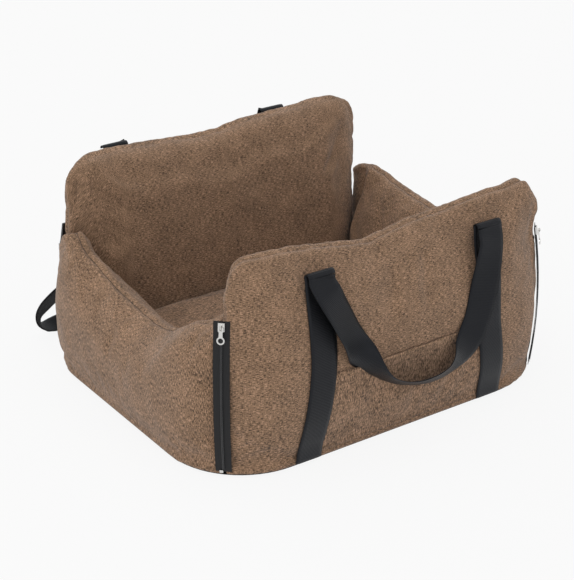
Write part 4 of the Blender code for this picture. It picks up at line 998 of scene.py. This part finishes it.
def makeFrontHandle():
    end, top, x = loopEnd(-1, strap["frontLoopZ"]) / mm, strap["frontLoopZ"] / mm, strap["topX"] / mm
    rows = [(-x, end, top, 1, 0, 0), (-x, end - 1.5, top - 8, 1, 0.03, 0.02)]
    rows += [(px, -250 - out, z, wx, wy, wz) for px, out, z, wx, wy, wz in frontBight]
    rows += [(x, end - 1.5, top - 8, -1, 0.01, 0.02), (x, end, top, -1, 0, 0)]
    stations = [((a * mm, b * mm, c * mm), (d, e, f)) for a, b, c, d, e, f in smoothRoute(rows, 5)]
    piece = ribbon("frontHandle", stations, strap["width"], strap["thick"], curl=0.4 * mm)
    return dress(piece, webbing, "front_handle", ("front_handle",))


rearHandle = {"drop": 170 * mm, "power": 2.6, "twist": 50, "bulge": 8 * mm, "standOff": 14 * mm,
              "drape": 45 * mm}


def makeRearHandle():
    top = strap["rearLoopZ"]
    start = loopEnd(1, top)
    half = strap["topX"]
    stations = []
    for step in range(121):
        side = 2 * step / 120 - 1
        sag = 1 - abs(side) ** rearHandle["power"]
        z = top - rearHandle["drop"] * sag
        drape = max(faceY(z) + rearHandle["standOff"], start)
        hang = smoothStep(min(1.0, (top - z) / rearHandle["drape"]))
        y = start + (drape - start) * hang + rearHandle["bulge"] * sag ** 4
        twist = radians(rearHandle["twist"]) * sag ** 6
        slope = rearHandle["drop"] * rearHandle["power"] * abs(side) ** (rearHandle["power"] - 1)
        along = Vector((half, 0, slope if side > 0 else -slope)).normalized()
        flat = Vector((-along.z, 0, along.x))
        across = flat * cos(twist) + Vector((0, 1, 0)) * sin(twist)
        if step in (0, 1, 119, 120):
            across = Vector((1 if side < 0 else -1, 0, 0))
        stations.append(((half * side - strap["rearLeft"], y, z), across))
    piece = ribbon("rearHandle", stations, strap["width"], strap["thick"])
    return dress(piece, webbing, "rear_handle", ("rear_handle",))


for end, facing, wall, body in (("front", -1, frontWall, "front_wall"), ("rear", 1, rearWall, "bed")):
    for side, hand in ((-1, "Left"), (1, "Right")):
        makeStrap(end + hand + "Strap", side, facing, strap[end + "LoopZ"], wall,
                  (f"{end}_{hand.lower()}_strap",))
makeFrontHandle()
makeRearHandle()
print("straps and handles made")


# tether webbing behind the bed: place from its ring, distance out, height, and direction across

tether = {"width": 25 * mm, "thick": 1.6 * mm, "ringX": 228 * mm, "ringY": 248 * mm, "top": 103.6 * mm}
tetherHang = (
    (0, 0, 99, 1, 0, 0), (-1.5, 0.6, 93, 0.98, 0.04, -0.18), (-6, 2.5, 86.5, 0.92, 0.1, -0.37),
    (-12.5, 4.5, 80, 0.86, 0.16, -0.48), (-21, 7, 73, 0.82, 0.2, -0.54), (-30, 10, 65, 0.8, 0.24, -0.55),
    (-38.5, 13, 56, 0.78, 0.3, -0.54), (-45, 16, 45, 0.73, 0.45, -0.51), (-47, 18, 33, 0.58, 0.66, -0.47),
    (-43, 20, 22.5, 0.4, 0.87, -0.28), (-33, 24, 15.5, 0.22, 0.96, 0.15), (-8, 31, 13.5, 0.05, 0.75, 0.66),
    (60, 40, 13.5, 0, 0.4, 0.9), (128, 43, 13.5, 0, 0.3, 0.95), (228, 44, 13.5, 0, 0.3, 0.95),
)


def makeTether():
    rows = [(-tether["ringX"] + a * mm, tether["ringY"] + b * mm, c * mm, d, e, f)
            for a, b, c, d, e, f in tetherHang]
    half = [(-tether["ringX"], tether["ringY"], tether["top"], 1, 0, 0)] + smoothRoute(rows, 6)
    full = half + [(-x, y, z, -a, b, c) for x, y, z, a, b, c in reversed(half[:-1])]
    piece = ribbon("tetherStrap", [(row[:3], row[3:]) for row in full], tether["width"], tether["thick"])
    return dress(piece, webbing, "tether", ("tether_strap",))


makeTether()
print("tether made")


# front pocket

pocket = {"halfWidth": 137 * mm, "foot": 12 * mm, "mouth": 128 * mm, "thick": 1.0 * mm, "gape": 2.2 * mm}


def makePocket():
    tree = surfaceOf(frontWall)
    sections, lays = [], []
    for column in range(57):
        x = pocket["halfWidth"] * (column / 28 - 1)
        ring, lay = [], []
        for way in (1, -1):
            for row in range(31):
                share = row / 30 if way > 0 else 1 - row / 30
                z = pocket["foot"] + (pocket["mouth"] - pocket["foot"]) * share
                hit = tree.ray_cast(Vector((x, -0.4, z)), Vector((0, 1, 0)))[0]
                y = hit.y if hit else -faceY(z)
                gape = pocket["gape"] * smoothStep((share - 0.8) / 0.2)
                gape *= cos(pi / 2 * x / pocket["halfWidth"])
                lift = 0.3 * mm + gape + (pocket["thick"] if way > 0 else 0.0)
                ring.append((x, y - lift, z))
                lay.append((x, z, 0.01 * way))
        sections.append(ring)
        lays.append(lay)
    piece = sweep("frontPocket", sections, lays)
    addLayers(piece.data)
    dress(piece, clothTurned, "front_wall", ("front_pocket",))
    return piece


makePocket()
print("pocket made")


# CAD nodes that keep their shape get their finish

byStem = (
    ("base_underside", grip), ("base_board", board), ("base_liner", clothFlat), ("fold_seam", cloth),
    ("tape", tapeCloth), ("coil", coilThread), ("zip_stop", brightMetal), ("slider", brightMetal),
    ("puller", brightMetal), ("ring_tab", webbingFlat), ("d_ring", ringMetal), ("snap_hook", ringMetal),
    ("gate", ringMetal), ("swivel", ringMetal), ("tether_end", webbingFlat), ("adjuster", ringMetal),
    ("strap", webbing), ("handle", webbing), ("pocket", cloth), ("cover", cloth), ("fill", cloth),
)
for name, node in nodes.items():
    finish = next((material for stem, material in byStem if stem in name), ringMetal)
    for slotItem in node.material_slots:
        slotItem.material = finish
print("CAD nodes finished")
